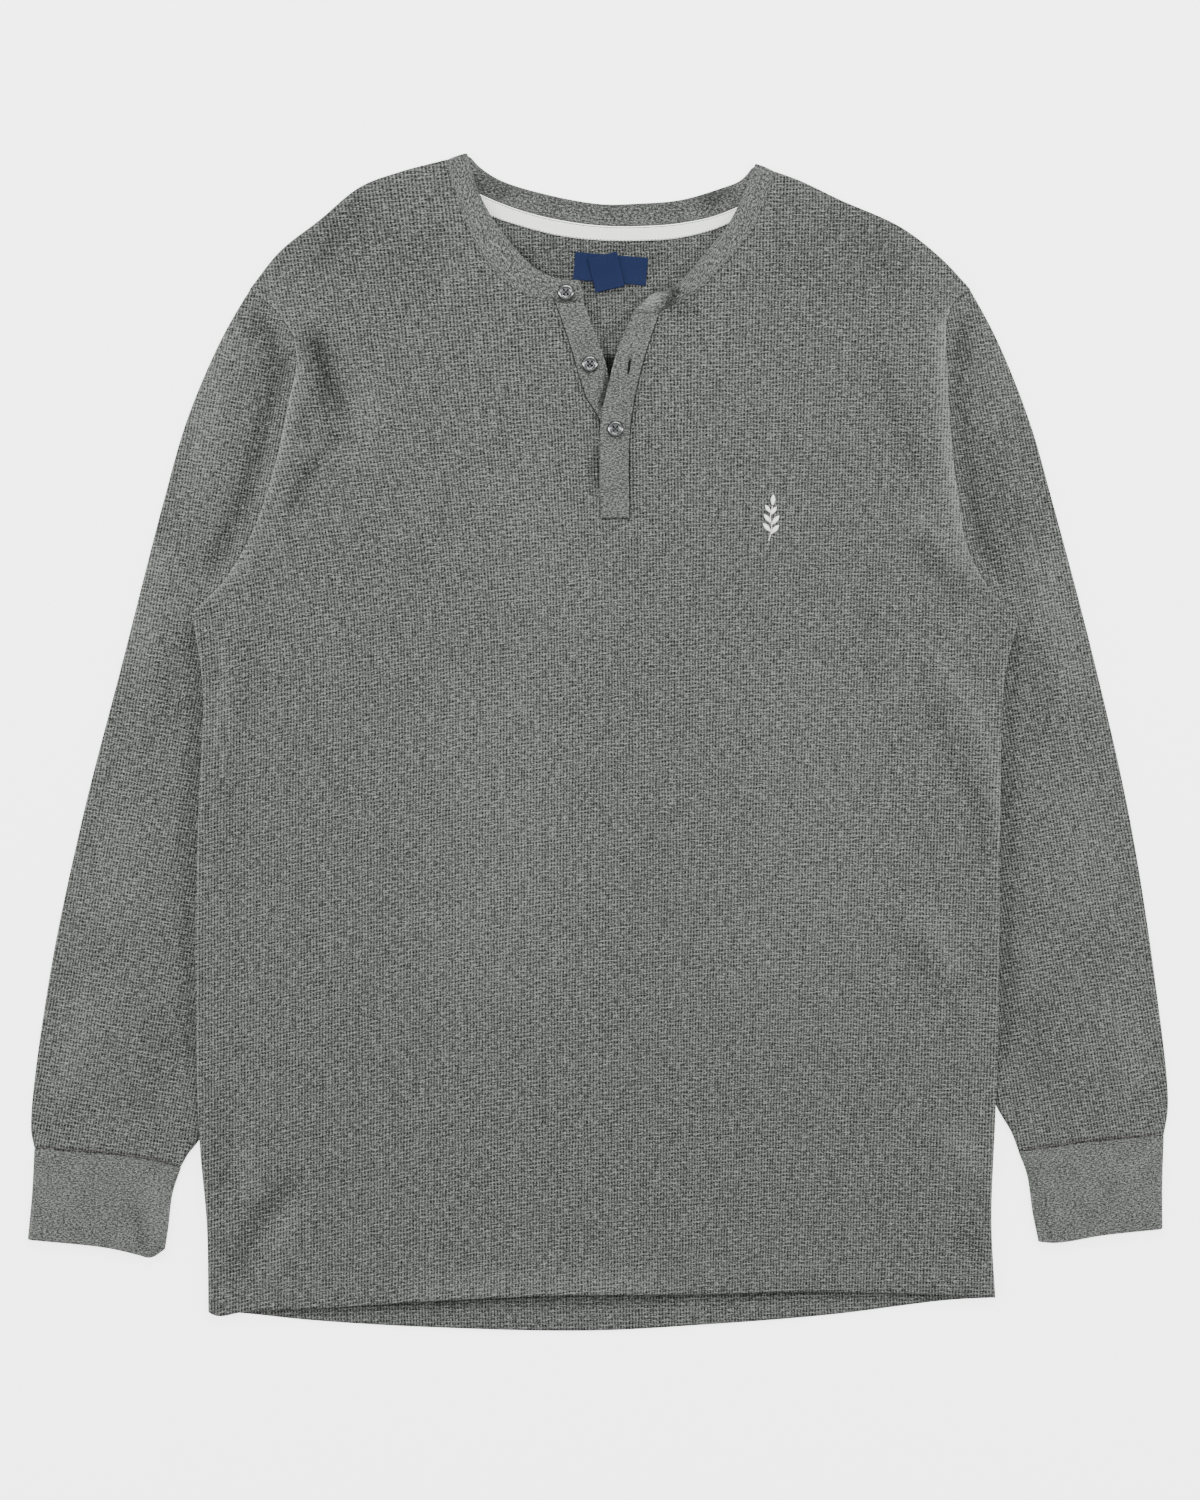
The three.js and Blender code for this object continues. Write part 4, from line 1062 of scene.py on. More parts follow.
@dataclass(frozen=True)
class Cut:
    """Flat cut of a sheet in metres, and its area where it isn't a rectangle."""

    width: float
    length: float
    area: float | None = None


@dataclass(frozen=True)
class Piece:
    """A finished object with what it stands for."""

    shown: bpy.types.Object
    slot: Slot
    nodes: tuple[str, ...] = ()
    cut: Cut | None = None
    rests_on: tuple[str, ...] = ()

    def declare(self) -> None:
        """Attaches the piece to the root body, hides the part nodes that it stands for, and logs its faces.
        """
        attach(self.shown, "root")
        if self.nodes:
            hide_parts(*self.nodes)
        if self.cut:
            list(self.rests_on)
        LOG.info("%s: %d faces", self.shown.name, len(self.shown.data.polygons))


@dataclass(frozen=True)
class Body:
    """Front and back panel."""

    materials: Materials
    rows_low: int = 120
    rows_slit: int = 34
    rows_neck: int = 52
    columns_half: int = 76
    columns_middle: int = 8
    columns_back: int = 130
    roll: float = 0.9
    hem_height: float = 15.0

    def outer(self, side: Side, armhole: str, low: Array, high: Array) -> Array:
        """Outer edge of a panel from the hem to the shoulder."""
        return np.vstack([curve_at(EDGE["side"][side], low)[:-1], curve_at(EDGE[armhole][side], high)])

    def back(self) -> Piece:
        """Back panel, whose inner face shows in the neck opening and below the front's hem."""
        low = shares_with_edges(480.0, self.rows_low, end=False)
        high = shares_with_edges(250.0, self.rows_slit + self.rows_neck, start=False)
        left, right = (self.outer(side, "armhole_back", low, high) for side in Side)
        across = shares_with_edges(570.0, self.columns_back)
        shoulders = [smooth_curve(EDGE["shoulder"][side]) for side in Side]
        upper_line = np.vstack([shoulders[0], smooth_curve(BAND_SEAM_BACK)[1:-1], shoulders[1]])
        up = np.linspace(0.0, 1.0, len(left))
        rows = patch(left, right, curve_at(BACK_HEM, across), along(upper_line, across), across, up)
        shell = Shell((rows,), FORM.back_top, BODY_WALL, self.roll, turned_grain(1.5), self.back_hem,
                      BACK_SHADE)
        shown = shell.build().to_object("back_panel_cloth", self.materials.waffle)
        return Piece(shown, Slot.WAFFLE, ("back_panel",), Cut(0.578, 0.82, 0.42), ())

    def back_hem(self, points: Array) -> Array:
        """Extra height of the back's turned hem, with a groove where it is sewn."""
        hem = smooth_curve(BACK_HEM)
        above = points[:, 1] - np.interp(points[:, 0], hem[:, 0], hem[:, 1])
        return self.hem_form(above)

    def front_hem(self, points: Array) -> Array:
        """Extra height of the front's turned hem, with a groove where it is sewn."""
        hem = np.vstack([smooth_curve(EDGE["front_hem"][side]) for side in Side])
        above = points[:, 1] - np.interp(points[:, 0], hem[:, 0], hem[:, 1])
        return self.hem_form(above)

    def hem_form(self, above: Array) -> Array:
        """Height of a turned hem at a distance above its edge."""
        fold = 0.8 * (1.0 - smooth_step(above, self.hem_height, self.hem_height + 2.5))
        return fold - 0.5 * np.exp(-(((above - self.hem_height) / 1.3) ** 2))

    def front(self) -> Piece:
        """Front panel with its slit, which the plackets fill."""
        low = shares_with_edges(480.0, self.rows_low, end=False)
        slit = np.linspace(0.0, 1.0, self.rows_slit + 1)
        neck = shares_with_edges(160.0, self.rows_neck, start=False)
        high = np.concatenate([slit * 0.42, 0.42 + 0.58 * neck[1:]])
        hem = {side: smooth_curve(EDGE["front_hem"][side]) for side in Side}
        patches = []
        inner = {}
        for side, x in ((Side.LEFT, SLIT_LEFT), (Side.RIGHT, SLIT_RIGHT)):
            hem_y = hem[side][-1 if side is Side.LEFT else 0, 1]
            below = np.column_stack([np.full(len(low), x), hem_y + (SLIT_FOOT - hem_y) * low])
            seam = EDGE["band_seam"][side][1:]
            opening = EDGE["slit"][side]
            inner[side] = np.vstack([
                below[:-1], curve_at(opening, slit)[:-1], curve_at([opening[-1], *seam[1:]], neck),
            ])
            outer = self.outer(side, "armhole", low, high)
            across = shares_with_edges(280.0, self.columns_half)
            shoulder = curve_at(EDGE["shoulder"][side], across)
            lower = along(hem[side], across)
            up = np.linspace(0.0, 1.0, len(outer))
            left, right = (outer, inner[side]) if side is Side.LEFT else (inner[side], outer)
            patches.append(patch(left, right, lower, shoulder, across, up))
        count = len(low)
        across = np.linspace(0.0, 1.0, self.columns_middle + 1)
        left, right = (inner[side][:count] for side in Side)
        corners = ((left[0], right[0]), (left[-1], right[-1]))
        lower, upper = (a + (b - a) * across[:, None] for a, b in corners)
        patches.append(patch(left, right, lower, upper, across, np.linspace(0.0, 1.0, count)))
        shell = Shell(tuple(patches), FORM.front_top, BODY_WALL, self.roll, body_grain, self.front_hem,
                      FRONT_FOLDS + FRONT_SHADE)
        shown = shell.build().to_object("front_panel_cloth", self.materials.waffle)
        return Piece(shown, Slot.WAFFLE, ("front_panel",), Cut(0.578, 0.806, 0.41), ("back_panel_cloth",))


@dataclass(frozen=True)
class Sleeve:
    """A sleeve and its cuff."""

    side: Side
    materials: Materials
    rows: int = 150
    columns: int = 34
    crown: float = 1.5
    seam_in_view: float = 3 / 14
    grain_turn: float = 10.0
    tuck: float = 6.0
    cloth_area: float = 0.14

    @property
    def base(self) -> float:
        """Height of the flattened sleeve."""
        return 2 * SLEEVE_WALL + LAYER_GAP

    def edges(self) -> tuple[Array, Array, Array, Array]:
        """Outer, inner, armhole and cuff edge of the sleeve, as close points."""
        armhole = smooth_curve(EDGE["armhole"][self.side])[::-1]
        open_part = along(armhole, np.linspace(0.0, self.seam_in_view, 40))
        open_part = offset_line(open_part, -self.tuck * self.side.sign)
        start = open_part[-1]
        foot = EDGE["sleeve_foot"][self.side]
        y = np.linspace(start[1], foot[0][1], 9)[1:]
        hidden = np.column_stack([HIDDEN_FOLDS[self.side].x(y), y])
        inner = smooth_curve([tuple(start), *map(tuple, hidden), *foot[1:]])
        outer_points = [tuple(open_part[0]), *EDGE["sleeve_outer"][self.side]]
        seam = smooth_curve(EDGE["cuff_seam"][self.side]) + [0.0, 0.6]
        return smooth_curve(outer_points), inner, open_part, seam

    def body_edge(self) -> NearestLine:
        """The armhole edge of the front, on which the sleeve rises."""
        return NearestLine(curve_at(EDGE["armhole"][self.side], FINE))

    def inside_body(self, points: Array) -> Array:
        """Whether each point lies under the body."""
        armhole = curve_at(EDGE["armhole"][self.side], FINE)
        side = curve_at(EDGE["side"][self.side], FINE)
        edge = np.vstack([side, armhole])
        limit = np.interp(points[:, 1], edge[:, 1], edge[:, 0])
        return self.side.sign * (limit - points[:, 0]) > 0

    def top(self, points: Array) -> Array:
        """Upper face of the sleeve, which comes up to the front along the armhole seam."""
        outer = smooth_curve(EDGE["sleeve_outer"][self.side])
        order = np.argsort(outer[:, 1])
        edge_x = np.interp(points[:, 1], outer[order, 1], outer[order, 0])
        across = self.side.sign * (edge_x - points[:, 0])
        inside = self.inside_body(points)
        crown = self.crown * smooth_step(across, 2.0, 34.0) * np.where(inside, 0.0, 1.0)
        folds = fold_rise(SLEEVE_FOLDS[self.side], points)
        line = self.body_edge()
        index, distance = line.find(points)
        signed = np.where(inside, -distance, distance)
        seam_height = FORM.front_top(line.points)[index] - BODY_WALL - 0.1
        near = np.exp(-((np.maximum(signed, 0.0) / 9.0) ** 2))
        cover = smooth_step(signed, -self.tuck, -1.5)
        side_fade = smooth_step(signed, -14.0, 10.0) * np.where(inside, 0.0, 1.0)
        free = self.base + np.maximum(crown + folds, -1.4) * np.maximum(side_fade, near * cover)
        return free + (seam_height - free) * near * cover * (distance < 60.0)

    def sleeve(self) -> Piece:
        """The sleeve itself."""
        outer, inner, armhole, seam = self.edges()
        across = shares_with_edges(110.0, self.columns)
        up = shares_with_edges(610.0, self.rows)
        rows = patch(along(outer, up), along(inner, up), along(armhole, across), along(seam, across),
                     across, up, 4.0)
        turn = self.grain_turn * self.side.sign
        folds = SLEEVE_FOLDS[self.side] + SLEEVE_SHADE[self.side]
        tube = Tube(rows, SLEEVE_WALL, self.top, 3.4, turned_grain(turn), 0.0, folds)
        shown = tube.build().to_object(f"sleeve_{self.side.value}_cloth", self.materials.sleeve)
        cut = Cut(0.33, 0.615, self.cloth_area)
        return Piece(shown, Slot.WAFFLE, (f"sleeve_{self.side.value}",), cut, ())

    def cuff_top(self, points: Array) -> Array:
        """Upper face of the cuff: a low pillow that narrows at the seam."""
        seam = smooth_curve(EDGE["cuff_seam"][self.side])
        order = np.argsort(seam[:, 0])
        below = np.interp(points[:, 0], seam[order, 0], seam[order, 1]) - points[:, 1]
        pillow = 1.0 * smooth_step(below, 0.0, 12.0)
        return 2 * CUFF_WALL + 0.5 + pillow + fold_rise(CUFF_FOLDS[self.side], points)

    def cuff(self) -> Piece:
        """The doubled cuff."""
        side = self.side
        across = shares_with_edges(100.0, self.columns)
        up = shares_with_edges(65.0, 22)
        rows = patch(
            curve_at(EDGE["cuff_outer"][side], up), curve_at(EDGE["cuff_inner"][side], up),
            curve_at(EDGE["cuff_seam"][side], across), curve_at(EDGE["cuff_hem"][side], across), across, up,
        )
        tube = Tube(rows, CUFF_WALL, self.cuff_top, 3.6, turned_grain(4.0 * side.sign), 0.5, CUFF_FOLDS[side])
        shown = tube.build().to_object(f"cuff_{side.value}_cloth", self.materials.trim)
        return Piece(shown, Slot.TRIM, (f"cuff_{side.value}",), Cut(0.205, 0.07, 0.0138), ())


@dataclass(frozen=True)
class Neck:
    """Neckband, plackets and the tape inside the neck."""

    materials: Materials
    back_z: float = 1.25
    front_z: float = 3.9
    edge_rise: float = 1.2
    section: int = 14
    fullness: float = 0.4
    turn_steps: int = 14
    seam_tuck: float = 0.8
    over_lift: float = 1.9
    over_air: float = 0.3
    under_dip: float = 1.3

    def section_points(self, free: Array, seam: Array, out: Array) -> Array:
        """Points round the band's section, which is folded at its free edge and full in the middle.

        Args:
            free: Middle of the wall at the free edge, for each station.
            seam: Middle of the wall at the seam.
            out: Direction of the outer face.

        Returns:
            Points by station and place in the section.
        """
        width = np.linalg.norm(seam - free, axis=1)[:, None]
        inward = (seam - free) / width
        rings = []
        for step in range(2 * self.section):
            angle = math.pi * step / self.section
            share = (1.0 - math.cos(angle)) / 2
            height = math.sin(angle) if step % self.section else 0.0
            bulge = math.copysign(abs(height) ** self.fullness, height)
            crown = 1.0 + 0.22 * math.sin(math.pi * share)
            rings.append(free + inward * (width * share) + out * (bulge * crown * BAND_WALL / 2))
        return np.stack(rings, axis=1)

    def front_stations(self, side: Side) -> tuple[Array, Array]:
        """Free and seam edge of one front length of the band, from its end to the shoulder."""
        shares = np.linspace(0.0, 1.0, 91)
        free = curve_at(EDGE["band_free"][side], shares)
        seam = curve_at(EDGE["band_seam"][side], shares)
        seam = seam - (free - seam) * (self.seam_tuck / np.linalg.norm(free - seam, axis=1)[:, None])
        panel = np.maximum(FORM.front_top(seam) - BAND_WALL / 2, self.front_z)
        blend = smooth_step(shares, 0.8, 1.0)
        seam_z = panel * (1.0 - blend) + self.front_z * blend
        rise = self.edge_rise * np.sin(math.pi * shares)
        free_z = seam_z + rise
        reach = shares * line_length(free)
        if side is Side.RIGHT:
            # The end is rolled over: a crest near the end, and a crease where the roll starts.
            free_z += 2.6 * swell(reach, 9.0, 7.0) - 1.6 * swell(reach, 22.0, 4.0)
            seam_z += 1.6 * swell(reach, 8.0, 7.0) - 1.8 * swell(reach, 22.0, 5.0)
        return np.column_stack([free, free_z]), np.column_stack([seam, seam_z])

    def shoulder_turn(self, side: Side) -> tuple[Array, Array, Array]:
        """Stations of the band through its turn at a shoulder, from front to back."""
        radius = (self.front_z - self.back_z) / 2
        free = np.array(EDGE["band_free"][side][-1])
        seam = np.array(EDGE["band_seam"][side][-1])
        line = (seam - free) / np.linalg.norm(seam - free)
        seam = seam + line * self.seam_tuck
        out = np.array([-line[1], line[0]])
        out = out if out[1] > 0 else -out
        angles = np.linspace(0.0, math.pi, self.turn_steps + 1)[:, None]
        z = self.back_z + radius * (1.0 + np.cos(angles))
        plan = out * (radius * np.sin(angles) - radius - BAND_WALL / 2)
        normal = np.hstack([out * np.sin(angles), np.cos(angles)])
        return np.hstack([free + plan, z]), np.hstack([seam + plan, z]), normal

    def band(self) -> Piece:
        """The neckband, up the left front, round the back and down the right front."""
        free_parts, seam_parts, out_parts = [], [], []
        up = np.array([0.0, 0.0, 1.0])

        def add(free: Array, seam: Array, out: Array) -> None:
            """Adds stations of the band."""
            free_parts.append(free)
            seam_parts.append(seam)
            out_parts.append(np.broadcast_to(out, free.shape))

        left, right = (self.front_stations(side) for side in Side)
        left_turn, right_turn = (self.shoulder_turn(side) for side in Side)
        add(left[0][:-1], left[1][:-1], up)
        add(*left_turn)
        shares = np.linspace(0.0, 1.0, 92)[2:-2]
        free = curve_at(BAND_FREE_BACK, shares)
        seam = curve_at(BAND_SEAM_BACK, shares)
        seam = seam + (free - seam) * (0.5 / np.linalg.norm(free - seam, axis=1)[:, None])
        height = np.full((len(shares), 1), self.back_z)
        add(np.hstack([free, height]), np.hstack([seam, height]), -up)
        add(*(part[::-1] for part in right_turn))
        add(right[0][-2::-1], right[1][-2::-1], up)
        free, seam, out = np.vstack(free_parts), np.vstack(seam_parts), np.vstack(out_parts)
        rings = self.section_points(free, seam, out)
        # Both ends are drawn together into a soft rounded end.
        for end, inner in ((0, 1), (-1, -2)):
            centre = rings[end].mean(axis=0)
            rings[end] = centre + (rings[end] - centre) * [0.97, 0.97, 0.45]
        count = rings.shape[1]
        index = np.arange(rings.shape[0] * count).reshape(rings.shape[0], count)
        after = np.roll(index, -1, axis=1)
        faces = np.stack([index[:-1], index[1:], after[1:], after[:-1]], axis=-1).reshape(-1, 4).tolist()
        faces += [tuple(index[0]), tuple(index[-1][::-1])]
        middle = (free + seam) / 2
        reach = np.concatenate([[0.0], np.cumsum(np.linalg.norm(np.diff(middle, axis=0), axis=1))])
        girth = np.linspace(0.0, 32.0, count)
        cloth = np.stack(np.broadcast_arrays(reach[:, None], girth[None]), axis=-1).reshape(-1, 2)
        vertices = rings.reshape(-1, 3)
        surface = Surface(vertices, faces, cloth, fold_rise(BAND_SHADE, vertices[:, :2]))
        shown = surface.to_object("neckband_cloth", self.materials.trim)
        return Piece(shown, Slot.TRIM, ("neckband",), Cut(0.62, 0.0155), ("back_panel_cloth",))

    def placket_height(self, over: bool) -> Height:
        """Upper face of a placket: the under one lies on the back, the over one rides on it."""
        seam = smooth_curve(EDGE["slit"][Side.RIGHT])

        def height(points: Array) -> Array:
            """Upper face at each point."""
            base = FORM.back_top(points) + LAYER_GAP + FORM.near_neck(points) + FORM.near_v(points)
            loft = FORM.loft * np.ones(len(points))
            if over:
                seam_x = np.interp(points[:, 1], seam[:, 1], seam[:, 0])
                inward = 0.2 + 0.8 * smooth_step(seam_x - points[:, 0], 0.0, 12.0)
                foot = 0.2 + 0.8 * smooth_step(points[:, 1], SLIT_FOOT, SLIT_FOOT + 40.0)
                lift = self.over_lift * (1.0 - smooth_step(points[:, 1], 258.0, 300.0))
                lift = lift * np.minimum(inward, foot) + self.over_air
                return base + loft + lift + PLACKET_WALL
            dip = self.under_dip * (1.0 - smooth_step(points[:, 1], 215.0, 262.0))
            return base + loft - dip + PLACKET_WALL

        return height

    def placket(self, over: bool) -> Piece:
        """One placket, from its sewn edge to its free edge.

        Args:
            over: True for the right one, which lies on top.

        Returns:
            The piece.
        """
        side = Side.RIGHT if over else Side.LEFT
        up = shares_with_edges(148.0, 60)
        across = shares_with_edges(20.0, 12)
        sewn = curve_at(EDGE["slit"][side], up) + [-0.4 * side.sign, 0.0]
        free = curve_at(EDGE["placket_free"][side], up) + [0.3 * side.sign, 0.0]
        sewn[0] -= [0.0, 1.6]
        free[0] -= [0.0, 1.6]
        sewn[-1] -= [0.0, 0.3]
        left, right = (free, sewn) if over else (sewn, free)
        ends = [a + (b - a) * across[:, None] for a, b in ((left[0], right[0]), (left[-1], right[-1]))]
        rows = patch(left, right, *ends, across, up)
        folds = () if over else PLACKET_SHADE
        shell = Shell((rows,), self.placket_height(over), PLACKET_WALL, 0.7, turned_grain(0.0), None, folds)
        name = "placket_over" if over else "placket_under"
        shown = shell.build().to_object(f"{name}_cloth", self.materials.trim)
        return Piece(shown, Slot.TRIM, (name,), Cut(0.021, 0.15), ("back_panel_cloth",))

    def tape(self) -> Piece:
        """White tape over the seam inside the back neck."""
        shares = shares_with_edges(215.0, 90)
        upper = curve_at(BAND_SEAM_BACK, 0.035 + 0.925 * shares) - [0.0, 0.6]
        lower = curve_at(TAPE_FOOT, shares)
        up = shares_with_edges(10.5, 5)
        ends = [a + (b - a) * up[:, None] for a, b in ((lower[0], upper[0]), (lower[-1], upper[-1]))]
        rows = patch(*ends, lower, upper, shares, up)
        reach = line_length(lower)

        def grain(points: Array) -> Array:
            """Cloth coordinates, whose X is the length along the tape."""
            return np.column_stack([points[:, 0] * reach / 192.0, points[:, 1]])

        def top(points: Array) -> Array:
            """Upper face of the tape."""
            return np.full(len(points), BODY_WALL + SEAM_GAP + TAPE_WALL)

        shell = Shell((rows,), top, TAPE_WALL, 0.5, grain)
        shown = shell.build().to_object("neck_tape_cloth", self.materials.tape)
        return Piece(shown, Slot.TAPE, ("neck_tape",), Cut(0.205, 0.0105), ("back_panel_cloth",))


@dataclass(frozen=True)
class Label:
    """A small woven label, blank, as a soft rectangle."""

    node: str
    middle: Point
    size: Point
    turn: float
    base: float
    wall: float
    curl: float

    def build(self, material: bpy.types.Material) -> Piece:
        """The label with slightly lifted corners."""
        width, height = self.size
        across = shares_with_edges(width, 16)
        up = shares_with_edges(height, 10)
        turn = np.array([
            [math.cos(self.turn), math.sin(self.turn)], [-math.sin(self.turn), math.cos(self.turn)],
        ])
        local = np.stack(np.meshgrid((across - 0.5) * width, (up - 0.5) * height), axis=-1)
        rows = local @ turn + np.array(self.middle)

        def top(points: Array) -> Array:
            """Upper face, whose corners and foot curl up a little."""
            place = (points - np.array(self.middle)) @ turn.T / (np.array(self.size) / 2)
            corner = np.abs(place[:, 0] * place[:, 1])
            edge = np.clip(-place[:, 1], 0.0, 1.0) ** 2
            return self.base + self.wall + self.curl * (0.5 * corner**2 + 0.6 * edge)

        def grain(points: Array) -> Array:
            """Cloth coordinates from the label's middle."""
            return (points - np.array(self.middle)) @ turn.T

        shell = Shell((rows,), top, self.wall, 0.5, grain)
        shown = shell.build().to_object(f"{self.node}_cloth", material)
        cut = Cut(width * MM, height * MM)
        return Piece(shown, Slot.LABEL, (self.node,), cut, ("back_panel_cloth",))


@dataclass(frozen=True)
class Button:
    """A four-hole shirt button with a rim and a dish, sewn on with crossed thread."""

    node: str
    place: Point
    base: float
    tilt: Point
    radius: float = 5.75
    height: float = 2.3
    hole: float = 0.78
    hole_offset: float = 1.4
    sides: int = 96
    drill_sides: int = 20
    drill_ends: Point = (-1.0, 4.0)

    def profile(self) -> list[Point]:
        """Radius and height of the turned form, from the middle of its back to that of its face."""
        r, h = self.radius, self.height
        return [
            (0.0, 0.0), (r - 2.2, 0.0), (r - 1.3, 0.12), (r - 0.6, 0.4), (r - 0.15, 0.7), (r, 0.9),
            (r - 0.08, 1.12), (r - 0.3, 1.42), (r - 0.6, 1.76), (r - 0.68, 1.84), (r - 1.08, 2.09),
            (r - 1.18, 2.14), (r - 1.4, 2.21), (r - 1.6, h - 0.04), (r - 1.8, h), (r - 2.0, 2.22),
            (r - 2.15, 2.02), (r - 2.32, 1.74), (r - 2.45, 1.64), (r - 2.7, 1.58), (r - 3.4, 1.54),
            (0.0, 1.52),
        ]

    def build(self, materials: Materials) -> list[Piece]:
        """The button and its thread."""
        steps = self.profile()
        turns = np.arange(self.sides) * math.tau / self.sides
        vertices: list[tuple[float, float, float]] = []
        for radius, z in steps[1:-1]:
            vertices += [(radius * math.cos(a), radius * math.sin(a), z) for a in turns]
        vertices += [(0.0, 0.0, steps[0][1]), (0.0, 0.0, steps[-1][1])]
        rings = len(steps) - 2
        index = np.arange(rings * self.sides).reshape(rings, self.sides)
        after = np.roll(index, -1, axis=1)
        faces = np.stack([index[:-1], after[:-1], after[1:], index[1:]], axis=-1).reshape(-1, 4).tolist()
        foot, face = len(vertices) - 2, len(vertices) - 1
        faces += [(foot, int(b), int(a)) for a, b in zip(index[0], after[0])]
        faces += [(face, int(a), int(b)) for a, b in zip(index[-1], after[-1])]
        mesh = bpy.data.meshes.new(self.node)
        mesh.from_pydata([(x * MM, y * MM, z * MM) for x, y, z in vertices], [], faces)
        mesh.materials.append(materials.button)
        blank = bpy.data.objects.new(f"{self.node}_blank", mesh)
        bpy.context.collection.objects.link(blank)
        drill_mesh = bpy.data.meshes.new("drills")
        count = self.drill_sides
        ring = [(math.cos(k * math.tau / count), math.sin(k * math.tau / count)) for k in range(count)]
        points, sides = [], []
        for x, y in self.holes():
            first = len(points)
            points += [((x + self.hole * c) * MM, (y + self.hole * s) * MM, z * MM)
                       for z in self.drill_ends for c, s in ring]
            low, high = range(first, first + count), range(first + count, first + 2 * count)
            sides += [tuple(reversed(low)), tuple(high)]
            sides += [(low[k], low[(k + 1) % count], high[(k + 1) % count], high[k]) for k in range(count)]
        drill_mesh.from_pydata(points, [], sides)
        drill = bpy.data.objects.new("drill", drill_mesh)
        bpy.context.collection.objects.link(drill)
        cut = blank.modifiers.new("holes", "BOOLEAN")
        cut.object = drill
        cut.operation = "DIFFERENCE"
        cut.solver = "EXACT"
        shown = baked(blank, f"{self.node}_resin")
        bpy.data.objects.remove(drill)
        places = np.array([vertex.co.xy for vertex in shown.data.vertices])
        reach = shown.data.attributes.new("reach", "FLOAT", "POINT")
        reach.data.foreach_set("value", np.linalg.norm(places, axis=1) / (self.radius * MM))
        self.seat(shown)
        for polygon in shown.data.polygons:
            polygon.use_smooth = True
        thread = self.thread(materials)
        return [Piece(shown, Slot.BUTTON, (self.node,)), Piece(thread, Slot.TRIM)]

    def holes(self) -> list[Point]:
        """Middles of the four holes."""
        return [(self.hole_offset * a, self.hole_offset * b) for a, b in ((1, 1), (-1, 1), (-1, -1), (1, -1))]

    def seat(self, item: bpy.types.Object) -> None:
        """Moves a mesh made round the button's middle to its place, slightly tilted."""
        count = len(item.data.vertices)
        points = np.empty(count * 3)
        item.data.vertices.foreach_get("co", points)
        points = points.reshape(-1, 3)
        lift = points[:, 0] * self.tilt[0] + points[:, 1] * self.tilt[1]
        points[:, 2] += lift + self.base * MM
        points[:, :2] += np.array(self.place) * MM
        item.data.vertices.foreach_set("co", points.ravel())
        item.data.update()

    def thread(self, materials: Materials) -> bpy.types.Object:
        """Thread that crosses between the holes and goes down into them."""
        corners = self.holes()
        top = self.height - 0.35
        edges = []
        for strand in (-0.15, 0.15):
            for a, b in ((0, 2), (1, 3)):
                start, end = np.array(corners[a]), np.array(corners[b])
                line = (end - start) / np.linalg.norm(end - start)
                side = np.array([-line[1], line[0]]) * strand
                edges.append(((*(start + side), top), (*(end + side), top)))
        thread = sewn(f"{self.node}_thread", edges, 0.3, materials.topstitch)
        self.seat(thread)
        return thread


def baked(source: bpy.types.Object, name: str) -> bpy.types.Object:
    """Plain mesh of an object with its modifiers, in place of the object."""
    graph = bpy.context.evaluated_depsgraph_get()
    final = source.evaluated_get(graph)
    mesh = bpy.data.meshes.new_from_object(final, preserve_all_data_layers=True, depsgraph=graph)
    mesh.name = name
    result = bpy.data.objects.new(name, mesh)
    bpy.context.collection.objects.link(result)
    bpy.data.objects.remove(source)
    return result


